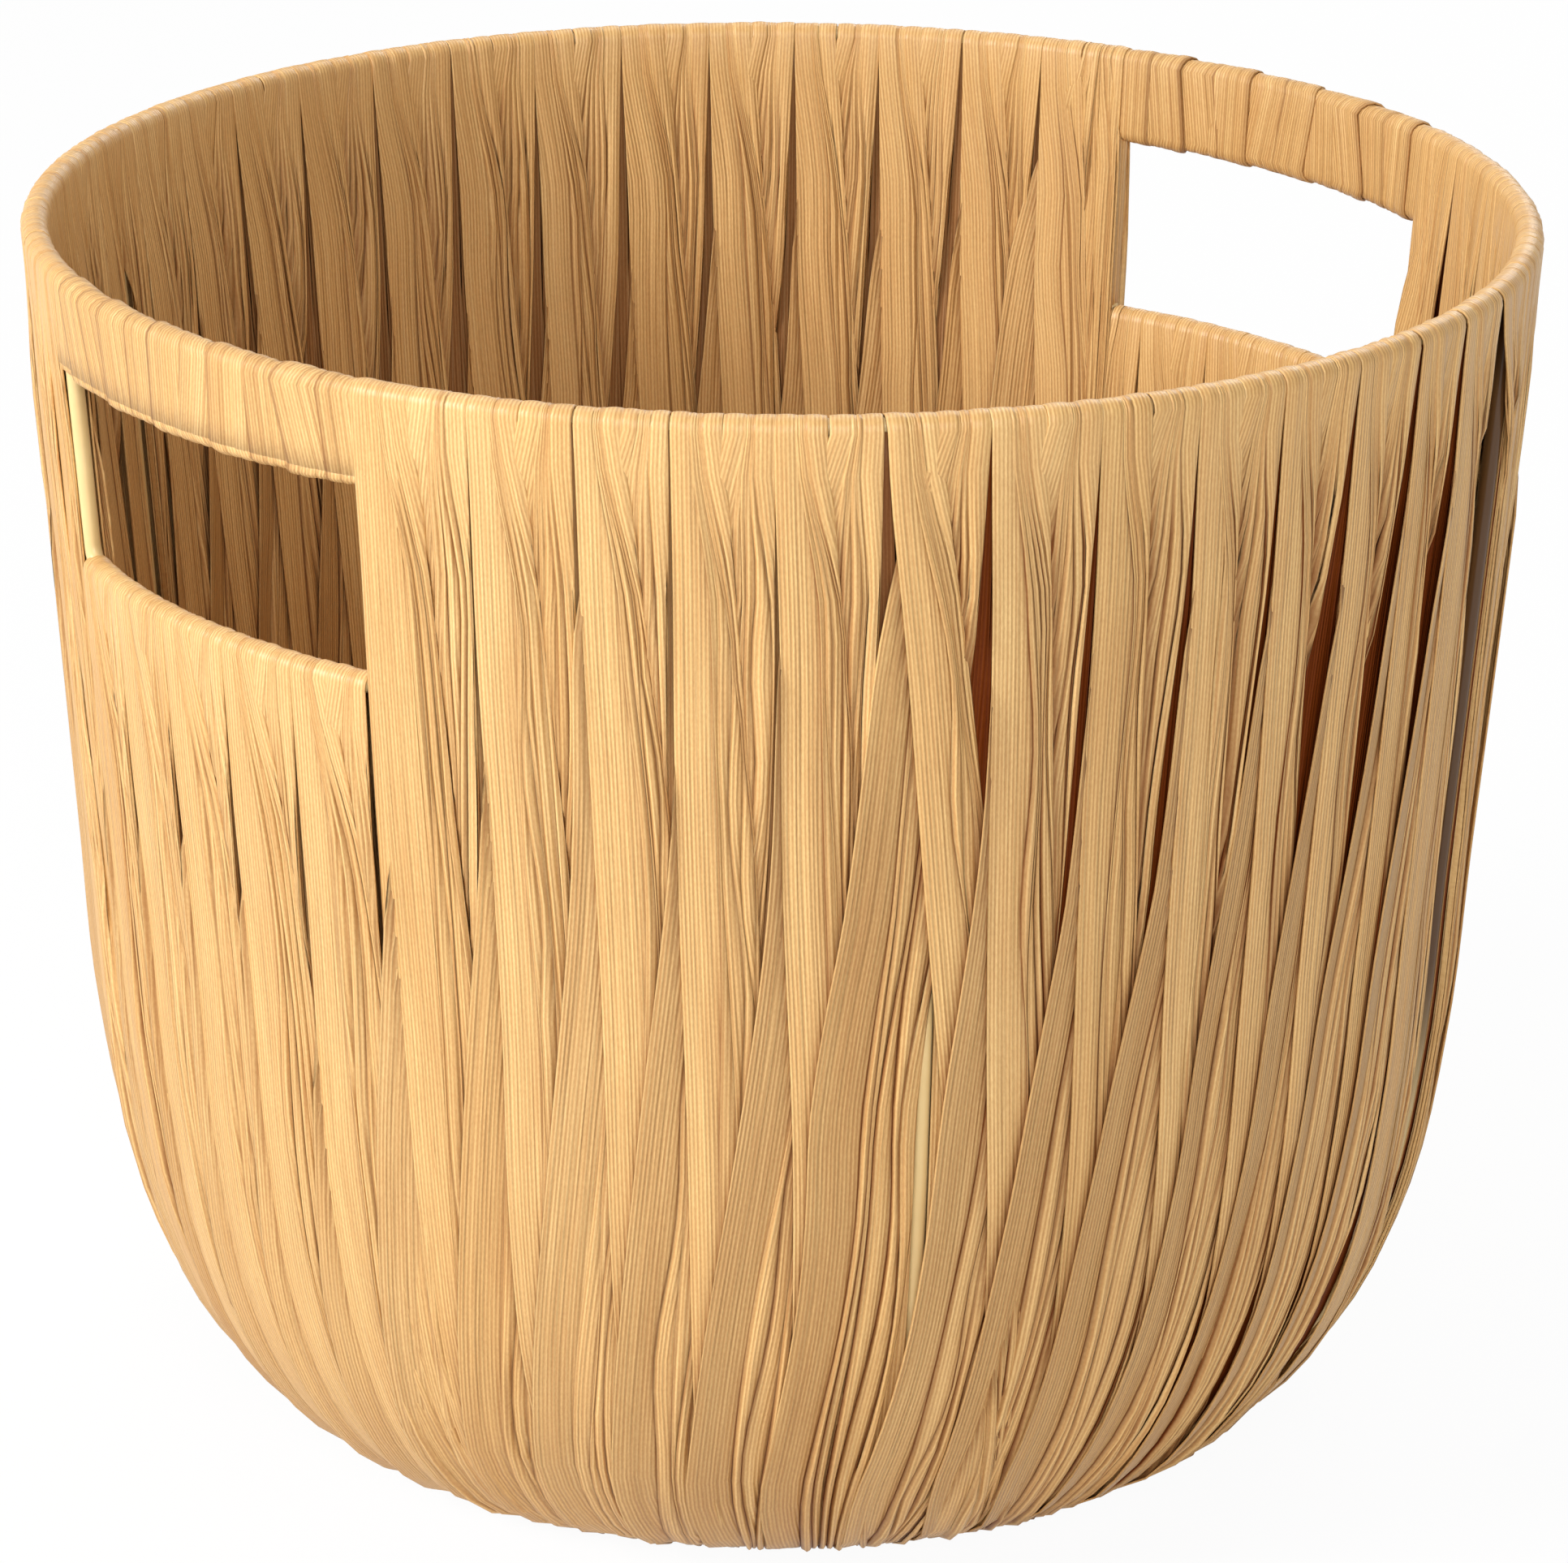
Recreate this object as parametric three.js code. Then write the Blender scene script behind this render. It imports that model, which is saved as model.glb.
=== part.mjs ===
import * as THREE from "three";

// A round storage basket: a welded wire frame wound all over with flat paper ribbon.
// Millimetres, +Z up. The origin is the middle of the circle that the basket stands on.
// The two hand openings face +X and -X. Angles are taken about Z, anticlockwise from +X.

// Overall size
const rimRadius = 180; // over the ribbon, at the top edge
const basketHeight = 300;
const baseRingRadius = 114.5; // to the middle of the wire
const openingWidth = 118; // of a hand opening, over its two stiles
const openingHeight = 43;
const gripHeight = 25.5; // the wound bar above a hand opening

// Wire and ribbon
const wireDiameter = 4;
const ribbonThickness = 0.8;
const ribbonSeat = 0.7; // room between a wire and the ribbon round it
const turnGap = 0.9; // between one turn of ribbon and the next
const weldGap = 0.3; // between two wires where they are welded
const stileBend = 6; // radius of the bend from a stile into the lower rail
const footSlack = 1.3; // room beside an upright where it passes between two ribbons
const ribbonEndWidth = 3; // a ribbon is gathered to this width at its two ends

// Floor
const floorGap = 1.7; // between the ribbon round the floor ring and the ribbon round the base ring
const floorBarSpacing = 46;
const floorRingRise = 4.4; // middle of the floor ring above the middle of the base ring
const floorInset = 14; // in from the floor ring, where the floor's turns are at full width
const floorReach = 1.26; // angle on the floor ring from the middle turn to the last one's far edge
const kneeReach = 6; // level part of an upright's foot outside the base ring
const shoulderDrop = 9; // below a ring or rail, where a ribbon's faces are parallel again

// Counts
const handleSideTurns = 5; // turns from a hand opening to the next upright
const middleTurns = 8; // turns between the two uprights of a long side
const underHandleTurns = 4;
const gripTurns = 9;
const floorMiddleTurns = 4; // between the first feet
const floorEdgeTurns = 2; // beyond them, on each side
const wireSides = 6;
const ringSegments = 60;
const arcSteps = 6;
const bendSteps = 3;
const floorBars = 3;

// Frame layout
const turn = 2 * Math.PI;
const uprightSpacing = turn / 6;
const leanShare = 0.5; // of a turn's width, how far a ribbon leans between rim and base
const standHalfAngle = Math.PI / 6; // half of the flat that each turn stands on

// The wall's middle line, from the base ring to the top ring, as shares of its height and reach
const wallShares = [
  [0, 0],
  [0.045, 0.293],
  [0.105, 0.49],
  [0.2, 0.67],
  [0.34, 0.785],
  [1, 1],
];
const kneeStation = 1; // the last wall station that an upright follows before its foot

// A ribbon goes round a wire in flats, which start at these shares of a half turn
const roundShares = [0, 0.3, 0.7, 1];
const flatTopAngle = Math.PI * roundShares[1];

const wireRadius = wireDiameter / 2;
const innerOffset = wireRadius + ribbonSeat; // wire's middle to the ribbon's near face
const outerOffset = innerOffset + ribbonThickness;
const topRingRadius = rimRadius - outerOffset;
const topRingHeight = basketHeight - outerOffset * Math.sin(flatTopAngle);
const baseRingHeight = outerOffset * Math.cos(standHalfAngle);
const gripRailHeight = basketHeight - gripHeight + outerOffset;
const lowerRailHeight = basketHeight - gripHeight - openingHeight - outerOffset;
const floorHeight = baseRingHeight + floorRingRise;
const floorRingRadius = baseRingRadius - Math.sqrt((2 * outerOffset + floorGap) ** 2 - floorRingRise ** 2);

// Points and directions in a half plane through the axis: x is the distance from the axis, y the height
const wallStations = wallShares.map(
  ([up, out]) =>
    new THREE.Vector2(
      baseRingRadius + out * (topRingRadius - baseRingRadius),
      baseRingHeight + up * (topRingHeight - baseRingHeight),
    ),
);

function wallPoint(height) {
  let k = 1;
  while (k < wallStations.length - 1 && wallStations[k].y < height) k++;
  const below = wallStations[k - 1];
  const above = wallStations[k];
  return below.clone().lerp(above, (height - below.y) / (above.y - below.y));
}

function place(radius, angle, height) {
  return new THREE.Vector3(radius * Math.cos(angle), radius * Math.sin(angle), height);
}

// A closed solid through a row of rings that all have as many points, with a flat face on each end
function sweep(rings) {
  const sides = rings[0].length;
  const index = [];
  for (let i = 0; i < rings.length - 1; i++) {
    for (let j = 0; j < sides; j++) {
      const a = i * sides + j;
      const b = i * sides + ((j + 1) % sides);
      index.push(a, b, b + sides, a, b + sides, a + sides);
    }
  }
  const last = (rings.length - 1) * sides;
  for (let j = 1; j < sides - 1; j++) {
    index.push(0, j + 1, j);
    index.push(last, last + j, last + j + 1);
  }
  const geometry = new THREE.BufferGeometry().setFromPoints(rings.flat());
  geometry.setIndex(index);
  geometry.computeVertexNormals();
  return geometry;
}

// A wire of round section bent through the given points
function wireThrough(points) {
  const rings = [];
  let side = null;
  points.forEach((point, i) => {
    const before = points[Math.max(i - 1, 0)];
    const after = points[Math.min(i + 1, points.length - 1)];
    const along = after.clone().sub(before).normalize();
    if (!side) {
      const up = Math.abs(along.z) > Math.SQRT1_2 ? new THREE.Vector3(1, 0, 0) : new THREE.Vector3(0, 0, 1);
      side = up.cross(along);
    }
    side = side.addScaledVector(along, -side.dot(along)).normalize();
    const across = along.clone().cross(side);
    const ring = [];
    for (let j = 0; j < wireSides; j++) {
      const spin = (turn * j) / wireSides;
      ring.push(
        point
          .clone()
          .addScaledVector(side, wireRadius * Math.cos(spin))
          .addScaledVector(across, wireRadius * Math.sin(spin)),
      );
    }
    rings.push(ring);
    side = side.clone();
  });
  return sweep(rings);
}

const steel = new THREE.MeshStandardMaterial({ color: 0xd9cfac, roughness: 0.35, metalness: 0.1 });
const paper = new THREE.MeshStandardMaterial({ color: 0xd9a862, roughness: 0.7, metalness: 0 });

const basket = new THREE.Group();
const frame = new THREE.Group();
const ribbons = new THREE.Group();
basket.add(frame, ribbons);

function addPiece(group, name, geometry, material) {
  const mesh = new THREE.Mesh(geometry, material);
  mesh.name = name;
  group.add(mesh);
  return mesh;
}

// The three rings of the frame
function addRing(name, radius, height) {
  const geometry = new THREE.TorusGeometry(radius, wireRadius, wireSides, ringSegments);
  addPiece(frame, name, geometry, steel).position.z = height;
}
addRing("top_ring", topRingRadius, topRingHeight);
addRing("base_ring", baseRingRadius, baseRingHeight);
addRing("floor_ring", floorRingRadius, floorHeight);

// Hand openings: a stile, the lower rail and the other stile are one bent wire, and the grip rail is another
const handleAngle = Math.asin(openingWidth / 2 / rimRadius);
const stileAngle = handleAngle - wireRadius / topRingRadius;
const lowerRail = wallPoint(lowerRailHeight);
const bendAngle = stileBend / lowerRail.x;

function handleFramePoints(middle) {
  const half = [];
  const stileTop = wallPoint(topRingHeight - wireRadius - weldGap);
  half.push([stileTop, stileAngle]);
  for (let k = 0; k <= bendSteps; k++) {
    const bend = (turn / 4) * (k / bendSteps);
    const height = lowerRailHeight + stileBend * (1 - Math.sin(bend));
    half.push([wallPoint(height), stileAngle - bendAngle * (1 - Math.cos(bend))]);
  }
  const railStart = stileAngle - bendAngle;
  const rail = [];
  for (let k = 1; k < arcSteps; k++) rail.push([lowerRail, railStart * (1 - (2 * k) / arcSteps)]);
  const otherHalf = half.map(([at, angle]) => [at, -angle]).reverse();
  return [...half, ...rail, ...otherHalf].map(([at, angle]) => place(at.x, middle + angle, at.y));
}

function gripRailPoints(middle) {
  const at = wallPoint(gripRailHeight);
  const reach = stileAngle - (wireRadius + weldGap) / at.x;
  const points = [];
  for (let k = 0; k <= arcSteps; k++) {
    points.push(place(at.x, middle + reach * ((2 * k) / arcSteps - 1), at.y));
  }
  return points;
}

// Uprights run down the wall, pass over the base ring and end on the floor ring
function uprightPoints(angle, top) {
  const line = [wallPoint(top)];
  for (let k = wallStations.length - 2; k >= kneeStation; k--) {
    if (wallStations[k].y < top) line.push(wallStations[k]);
  }
  line.push(new THREE.Vector2(baseRingRadius + kneeReach, floorHeight));
  line.push(new THREE.Vector2(floorRingRadius + wireRadius + weldGap, floorHeight));
  return line.map((at) => place(at.x, angle, at.y));
}

const sides = { right: 0, left: Math.PI };
for (const [side, middle] of Object.entries(sides)) {
  addPiece(frame, "handle_frame_" + side, wireThrough(handleFramePoints(middle)), steel);
  addPiece(frame, "grip_rail_" + side, wireThrough(gripRailPoints(middle)), steel);
  const underRail = lowerRailHeight - wireRadius - weldGap;
  addPiece(frame, "short_upright_" + side, wireThrough(uprightPoints(middle, underRail)), steel);
}
const uprights = {
  back_right: uprightSpacing,
  back_left: 2 * uprightSpacing,
  front_left: 4 * uprightSpacing,
  front_right: 5 * uprightSpacing,
};
for (const [corner, angle] of Object.entries(uprights)) {
  const underRim = topRingHeight - wireRadius - weldGap;
  addPiece(frame, "upright_" + corner, wireThrough(uprightPoints(angle, underRim)), steel);
}

// Bars across the floor ring, square to the floor's ribbon
const floorSpin = uprightSpacing / 2;
for (let k = 0; k < floorBars; k++) {
  const x = floorBarSpacing * (k - (floorBars - 1) / 2);
  const reach = Math.sqrt((floorRingRadius - wireRadius) ** 2 - (Math.abs(x) + wireRadius) ** 2) - weldGap;
  const ends = [new THREE.Vector3(x, -reach, floorHeight), new THREE.Vector3(x, reach, floorHeight)];
  addPiece(frame, "floor_bar_" + (k + 1), wireThrough(ends), steel).rotation.z = floorSpin;
}

// Ribbon. A slot is the stretch, from one angle to another, that one turn takes on a ring or rail.
function slotsBetween(from, to, count) {
  const width = (to - from) / count;
  return Array.from({ length: count }, (_, k) => [from + k * width, from + (k + 1) * width]);
}

function between(a, b, share) {
  return a + (b - a) * share;
}

function slotBetween(a, b, share) {
  return [between(a[0], b[0], share), between(a[1], b[1], share)];
}

// The loop that a turn follows round an upper and a lower wire. Each station holds a middle point, the
// direction out from it, and its share of the way: up the wall, or round the wire.
function loopRound(line, waysUnder) {
  const first = line[0];
  const last = line[line.length - 1];
  const outAt = (k) => {
    const above = line[Math.max(k - 1, 0)];
    const below = line[Math.min(k + 1, line.length - 1)];
    return Math.atan2(below.x - above.x, above.y - below.y);
  };
  const round = (at, ways) => ways.map((out, k) => ({ at, out, share: k / (ways.length - 1) }));
  const outside = line.slice(1, -1).map((at, k) => ({
    at,
    out: outAt(k + 1),
    share: (at.y - last.y) / (first.y - last.y),
  }));
  return {
    outside,
    inside: outside.map((station) => ({ ...station, out: station.out + Math.PI })).reverse(),
    overTop: round(
      first,
      roundShares.map((share) => outAt(0) + Math.PI * (1 - share)),
    ),
    underBase: round(last, waysUnder(outAt(line.length - 1))),
  };
}

// Under the base ring two of the directions lie evenly on each side of straight down, so the turn stands flat
function waysToStand(out) {
  const outer = standHalfAngle - turn / 4;
  const inner = -standHalfAngle - turn / 4;
  return [out, outer, inner, between(inner, out - Math.PI, 1 / 2), out - Math.PI];
}

function waysRound(out) {
  return roundShares.map((share) => out - Math.PI * share);
}

function wallLoop(topHeight) {
  const line = [wallPoint(topHeight), wallPoint(topHeight - shoulderDrop)];
  for (let k = wallStations.length - 2; k >= 0; k--) line.push(wallStations[k]);
  return loopRound(line, waysToStand);
}

// The section of a ribbon at a station: its two edges, each with a face away from the wire and one towards it
function ribbonSection(station, slot) {
  const corner = (offset, angle, inset) => {
    const radius = station.at.x + offset * Math.cos(station.out);
    return place(radius, angle + inset / radius, station.at.y + offset * Math.sin(station.out));
  };
  const inset = turnGap / 2;
  return [
    corner(outerOffset, slot[0], inset),
    corner(innerOffset, slot[0], inset),
    corner(innerOffset, slot[1], -inset),
    corner(outerOffset, slot[1], -inset),
  ];
}

// One length of ribbon wound from left to right. It starts up the inside, goes over the top, down the outside
// and round the base to the inside again, one slot further on, and it ends on the inside below the top.
// The inside has one slot more than the outside, and its first and last slots are narrow.
function woundRibbon(name, loop, slots) {
  const turns = [];
  const overSlot = (k, share) => {
    if (slots.over) return slots.over[k];
    return slotBetween(slots.innerTop[k], slots.outerTop[k], share);
  };
  const climb = (k) =>
    loop.inside.map((station) =>
      ribbonSection(station, slotBetween(slots.innerBase[k], slots.innerTop[k], station.share)),
    );
  slots.outerTop.forEach((top, k) => {
    const base = slots.outerBase[k];
    turns.push([
      ...climb(k),
      ...loop.overTop.map((station) => ribbonSection(station, overSlot(k, station.share))),
      ...loop.outside.map((station) => ribbonSection(station, slotBetween(base, top, station.share))),
      ...loop.underBase.map((station) =>
        ribbonSection(station, slotBetween(base, slots.innerBase[k + 1], station.share)),
      ),
    ]);
  });
  const end = climb(slots.outerTop.length);
  addPiece(ribbons, name, sweep([...turns, end].flat()), paper);
  reportLeastGap(name, [...turns, end]);
}

// The least gap between neighbouring turns, corner to corner at each station
function reportLeastGap(name, turns) {
  let least = Infinity;
  for (let k = 1; k < turns.length; k++) {
    turns[k].forEach((section, i) => {
      const before = turns[k - 1][i];
      least = Math.min(least, before[3].distanceTo(section[0]), before[2].distanceTo(section[1]));
    });
  }
  console.log(name + ": least gap between its turns " + least.toFixed(2) + " mm");
}

// The inside's slots: at the top the last one is narrow, and at the base the first one is
function innerTopSlots(from, to, count, endAngle) {
  return [...slotsBetween(from, to - endAngle, count), [to - endAngle, to]];
}

const footAngle = (wireRadius + footSlack) / baseRingRadius;
const lean = (leanShare * uprightSpacing) / middleTurns;
const topEndAngle = ribbonEndWidth / topRingRadius;
const baseEndAngle = ribbonEndWidth / baseRingRadius;
const sideLoop = wallLoop(topRingHeight);

// A ribbon of a long side: from and to are its two edges, each with an angle at the rim and one at the base,
// and feet says how much room an upright's foot takes from each edge inside the base ring
function addSideRibbon(name, turns, from, to, feet) {
  const innerFrom = from.base + feet[0];
  const innerTo = to.base - feet[1];
  woundRibbon(name, sideLoop, {
    outerTop: slotsBetween(from.rim, to.rim, turns),
    outerBase: slotsBetween(from.base, to.base, turns),
    innerTop: innerTopSlots(from.rim, to.rim, turns, topEndAngle),
    innerBase: [
      [innerFrom, innerFrom + baseEndAngle],
      ...slotsBetween(innerFrom + baseEndAngle, innerTo, turns),
    ],
  });
}

// Each long side has three ribbons, which meet at its two uprights. The first covers the stile of the hand
// opening that it starts at, and the last leaves the other opening's stile bare.
const longSides = { back: 0, front: Math.PI };
for (const [face, offset] of Object.entries(longSides)) {
  const end = offset + Math.PI;
  const start = {
    rim: offset + stileAngle - wireRadius / topRingRadius,
    base: offset + handleAngle,
  };
  const [first, second] = [1, 2].map((k) => ({
    rim: offset + k * uprightSpacing - lean,
    base: offset + k * uprightSpacing,
  }));
  const finish = {
    rim: end - stileAngle - (wireRadius + turnGap / 2) / topRingRadius,
    base: end - handleAngle,
  };
  addSideRibbon(face + "_ribbon_1", handleSideTurns, start, first, [0, footAngle]);
  addSideRibbon(face + "_ribbon_2", middleTurns, first, second, [footAngle, footAngle]);
  addSideRibbon(face + "_ribbon_3", handleSideTurns, second, finish, [footAngle, 0]);
}

// Below each hand opening a ribbon goes round the straight part of the lower rail and spreads to full width
// below it
const lowerLoop = wallLoop(lowerRailHeight);
const railReach = stileAngle - bendAngle;
const lowerEndAngle = ribbonEndWidth / lowerRail.x;
const stileEdge = stileAngle - wireRadius / lowerRail.x;
for (const [side, middle] of Object.entries(sides)) {
  const half = underHandleTurns / 2;
  const innerFrom = middle - handleAngle;
  woundRibbon("under_handle_ribbon_" + side, lowerLoop, {
    over: slotsBetween(middle - railReach, middle + railReach, underHandleTurns),
    outerTop: slotsBetween(middle - stileEdge, middle + stileEdge, underHandleTurns),
    outerBase: slotsBetween(middle - handleAngle, middle + handleAngle, underHandleTurns),
    innerTop: innerTopSlots(middle - stileEdge, middle + stileEdge, underHandleTurns, lowerEndAngle),
    innerBase: [
      [innerFrom, innerFrom + baseEndAngle],
      ...slotsBetween(innerFrom + baseEndAngle, middle - footAngle, half),
      ...slotsBetween(middle + footAngle, middle + handleAngle, half),
    ],
  });
}

// Above each hand opening a ribbon goes round the top ring and the grip rail
const gripLoop = loopRound([wallPoint(topRingHeight), wallPoint(gripRailHeight)], waysRound);
const gripReach = stileAngle - (wireRadius + weldGap) / topRingRadius;
for (const [side, middle] of Object.entries(sides)) {
  const from = middle - gripReach;
  const to = middle + gripReach;
  woundRibbon("grip_ribbon_" + side, gripLoop, {
    outerTop: slotsBetween(from, to, gripTurns),
    outerBase: slotsBetween(from, to, gripTurns),
    innerTop: innerTopSlots(from, to, gripTurns, topEndAngle),
    innerBase: [[from, from + topEndAngle], ...slotsBetween(from + topEndAngle, to, gripTurns)],
  });
}

// The floor's ribbon is wound straight across its ring, and its slots are angles on that ring. It leaves room
// for the feet that are welded on there, and further in its turns are wide enough to meet.
function floorSlots(footRoom) {
  return [
    ...slotsBetween(-floorReach, -floorSpin - footRoom, floorEdgeTurns),
    ...slotsBetween(footRoom - floorSpin, floorSpin - footRoom, floorMiddleTurns),
    ...slotsBetween(floorSpin + footRoom, floorReach, floorEdgeTurns),
  ];
}

function floorRibbonRings() {
  const rings = [];
  const gapAngle = turnGap / 2 / floorRingRadius;
  // A section across the ribbon above or below the floor ring: side is 1 at +X and -1 at -X
  const addSection = (slot, side, way, inset) => {
    // Keeps the middle of the flat turn off the round ring
    const bulge = 1 / Math.cos((slot[1] - slot[0]) / 2);
    const corner = (offset, angle) => {
      const radius = (floorRingRadius + offset * Math.cos(way)) * bulge;
      const at = place(radius, angle, floorHeight + offset * Math.sin(way));
      at.x = side * (at.x - inset);
      return at;
    };
    const near = slot[0] + gapAngle;
    const far = slot[1] - gapAngle;
    rings.push([
      corner(outerOffset, near),
      corner(outerOffset, far),
      corner(innerOffset, far),
      corner(innerOffset, near),
    ]);
  };
  const wide = floorSlots(0);
  floorSlots((wireRadius + footSlack) / floorRingRadius).forEach((slot, k) => {
    const upwards = roundShares.map((share) => (turn / 4) * (2 * share - 1));
    for (const [side, ways] of [
      [1, upwards],
      [-1, [...upwards].reverse()],
    ]) {
      addSection(wide[k], side, ways[0], floorInset);
      for (const way of ways) addSection(slot, side, way, 0);
      addSection(wide[k], side, ways[ways.length - 1], floorInset);
    }
  });
  return rings.slice(1, -1);
}
addPiece(ribbons, "floor_ribbon", sweep(floorRibbonRings()), paper).rotation.z = floorSpin;

export default basket;
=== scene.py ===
import math

import bpy
import numpy as np
from mathutils import Matrix, Vector


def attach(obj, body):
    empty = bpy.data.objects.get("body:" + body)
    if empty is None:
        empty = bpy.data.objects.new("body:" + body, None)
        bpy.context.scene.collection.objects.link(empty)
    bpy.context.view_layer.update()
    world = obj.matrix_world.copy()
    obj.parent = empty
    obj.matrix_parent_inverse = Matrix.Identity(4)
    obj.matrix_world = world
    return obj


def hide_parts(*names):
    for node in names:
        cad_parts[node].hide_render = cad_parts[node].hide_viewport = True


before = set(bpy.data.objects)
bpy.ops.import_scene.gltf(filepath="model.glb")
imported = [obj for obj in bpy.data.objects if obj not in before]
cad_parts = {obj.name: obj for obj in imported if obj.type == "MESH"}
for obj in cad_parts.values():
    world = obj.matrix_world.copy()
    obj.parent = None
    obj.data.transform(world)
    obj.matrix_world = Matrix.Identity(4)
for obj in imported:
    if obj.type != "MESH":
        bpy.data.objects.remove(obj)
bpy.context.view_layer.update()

# Lengths are in millimetres until a mesh is made, and angles in degrees until a point is placed. A lift is a distance
# off the wall's middle line, and a drop is a distance down the wall from the top ring.
MM = 0.001
rng = np.random.RandomState(11)

# The frame: radius and height of the two rings, and between them the wall's middle line, as shares of height and reach
TOP_RING = (176.5, 296.5)
BASE_RING = (114.5, 3.03)
WALL_SHARES = [(0, 0), (0.022, 0.17), (0.06, 0.345), (0.115, 0.515), (0.2, 0.67), (0.34, 0.785), (0.5, 0.837), (1, 1)]
RAIL_HEIGHT = 228.0  # the rail below a hand opening
GRIP_RAIL_HEIGHT = 278.0
FLOOR_HEIGHT = 7.43
FLOOR_RADIUS = 107.0
FLOOR_SPIN = 30.0  # which way the floor's bars and ribbon run
WIRE_RADIUS = 2.0
WELD = 2.3  # from the middle of a wire to the end of one that is welded to it
STILE_ANGLE = 18.49
HAND_SIDES = (("right", 0.0), ("left", 180.0))

# The ribbon
PAPER = 0.45  # thickness of a strip
ROUNDED = 0.1  # how far the edge of a strip is rounded off
ABOVE_GROUND = 0.02
STATION_STEP = 9.0
PLEATS = 6


def smooth(a, b, x):
    t = np.clip((np.asarray(x, float) - a) / (b - a), 0, 1)
    return t * t * (3 - 2 * t)


def mix(a, b, t):
    return a + (b - a) * t


def around(table, angle):
    """A value read from a table of (angle, value)."""
    return float(np.interp(angle, [row[0] for row in table], [row[1] for row in table]))


def wall_line(count=600, steps=60):
    """Points of the middle line by arc length from the base, and their outward angles."""
    p = np.array([(BASE_RING[0] + out * (TOP_RING[0] - BASE_RING[0]),
                   BASE_RING[1] + up * (TOP_RING[1] - BASE_RING[1])) for up, out in WALL_SHARES])
    chord = np.linalg.norm(np.diff(p, axis=0), axis=1)
    slope = np.diff(p, axis=0) / chord[:, None]
    tangent = np.zeros_like(p)
    tangent[1:-1] = (slope[:-1] * chord[1:, None] + slope[1:] * chord[:-1, None]) / (chord[:-1] + chord[1:])[:, None]
    tangent[0], tangent[-1] = 1.5 * slope[0] - 0.5 * tangent[1], slope[-1]
    points = []
    for k in range(len(p) - 1):
        t = np.linspace(0, 1, steps, endpoint=k == len(p) - 2)[:, None]
        points.append((2 * t**3 - 3 * t**2 + 1) * p[k] + (t**3 - 2 * t**2 + t) * chord[k] * tangent[k]
                      + (3 * t**2 - 2 * t**3) * p[k + 1] + (t**3 - t**2) * chord[k] * tangent[k + 1])
    points = np.vstack(points)
    way = np.r_[0, np.cumsum(np.linalg.norm(np.diff(points, axis=0), axis=1))]
    even = np.linspace(0, way[-1], count)
    line = np.c_[np.interp(even, way, points[:, 0]), np.interp(even, way, points[:, 1])]
    d = np.gradient(line, axis=0)
    d /= np.linalg.norm(d, axis=1)[:, None]
    return even, line, np.degrees(np.arctan2(-d[:, 0], d[:, 1]))


WAY, LINE, OUT = wall_line()
WALL_LENGTH = WAY[-1]


def wall_at(way):
    """(r, z, outward angle) at a distance up the middle line."""
    return np.interp(way, WAY, LINE[:, 0]), np.interp(way, WAY, LINE[:, 1]), np.interp(way, WAY, OUT)


def radius_at(height):
    return float(np.interp(height, LINE[:, 1], LINE[:, 0]))


class Stations:
    """The stations of one turn of ribbon over the wall. It starts flat under the base ring, goes up the outside, over
    the top and down the inside, and ends tucked in. Each station has the middle line's radius and height, the angle of
    the offset from it (phi), its drop, its side (0 outside, 1 inside) and whether it is at the base."""

    UNDER = [-176.0, -150.0, -122.0, -90.0]
    OVER = np.linspace(0, 180, 7)[1:-1]
    TUCK = [142.0, 162.0]

    def __init__(self, top_way):
        count = int(round(top_way / STATION_STEP))
        ways = np.linspace(0, top_way, count)
        r, z, out = wall_at(ways)
        under, over, tuck = len(self.UNDER), len(self.OVER), len(self.TUCK)

        def turn(at_base, up, at_top, down):
            return np.r_[np.full(under, at_base), up, np.full(over, at_top), down, np.full(tuck, at_base)]

        self.r = turn(r[0], r, r[-1], r[::-1])
        self.z = turn(z[0], z, z[-1], z[::-1])
        self.phi = np.radians(np.r_[self.UNDER, out, out[-1] + self.OVER, (out + 180)[::-1], self.TUCK])
        self.drop = turn(top_way, top_way - ways, 0.0, ways)
        self.side = np.r_[np.zeros(under + count), np.linspace(0, 1, over + 2)[1:-1], np.ones(count + tuck)]
        self.at_base = np.r_[np.ones(under), np.zeros(2 * count + over), np.ones(tuck)]

    def of_face(self, side):
        """The stations of one face only, from under the rim to the base, and which ones they are."""
        some = Stations.__new__(Stations)
        keep = (self.side == side) & (self.at_base == 0) & (self.drop < WALL_LENGTH - 6)
        for name in ("r", "z", "phi", "drop", "side", "at_base"):
            setattr(some, name, getattr(self, name)[keep])
        return some, keep


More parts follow.
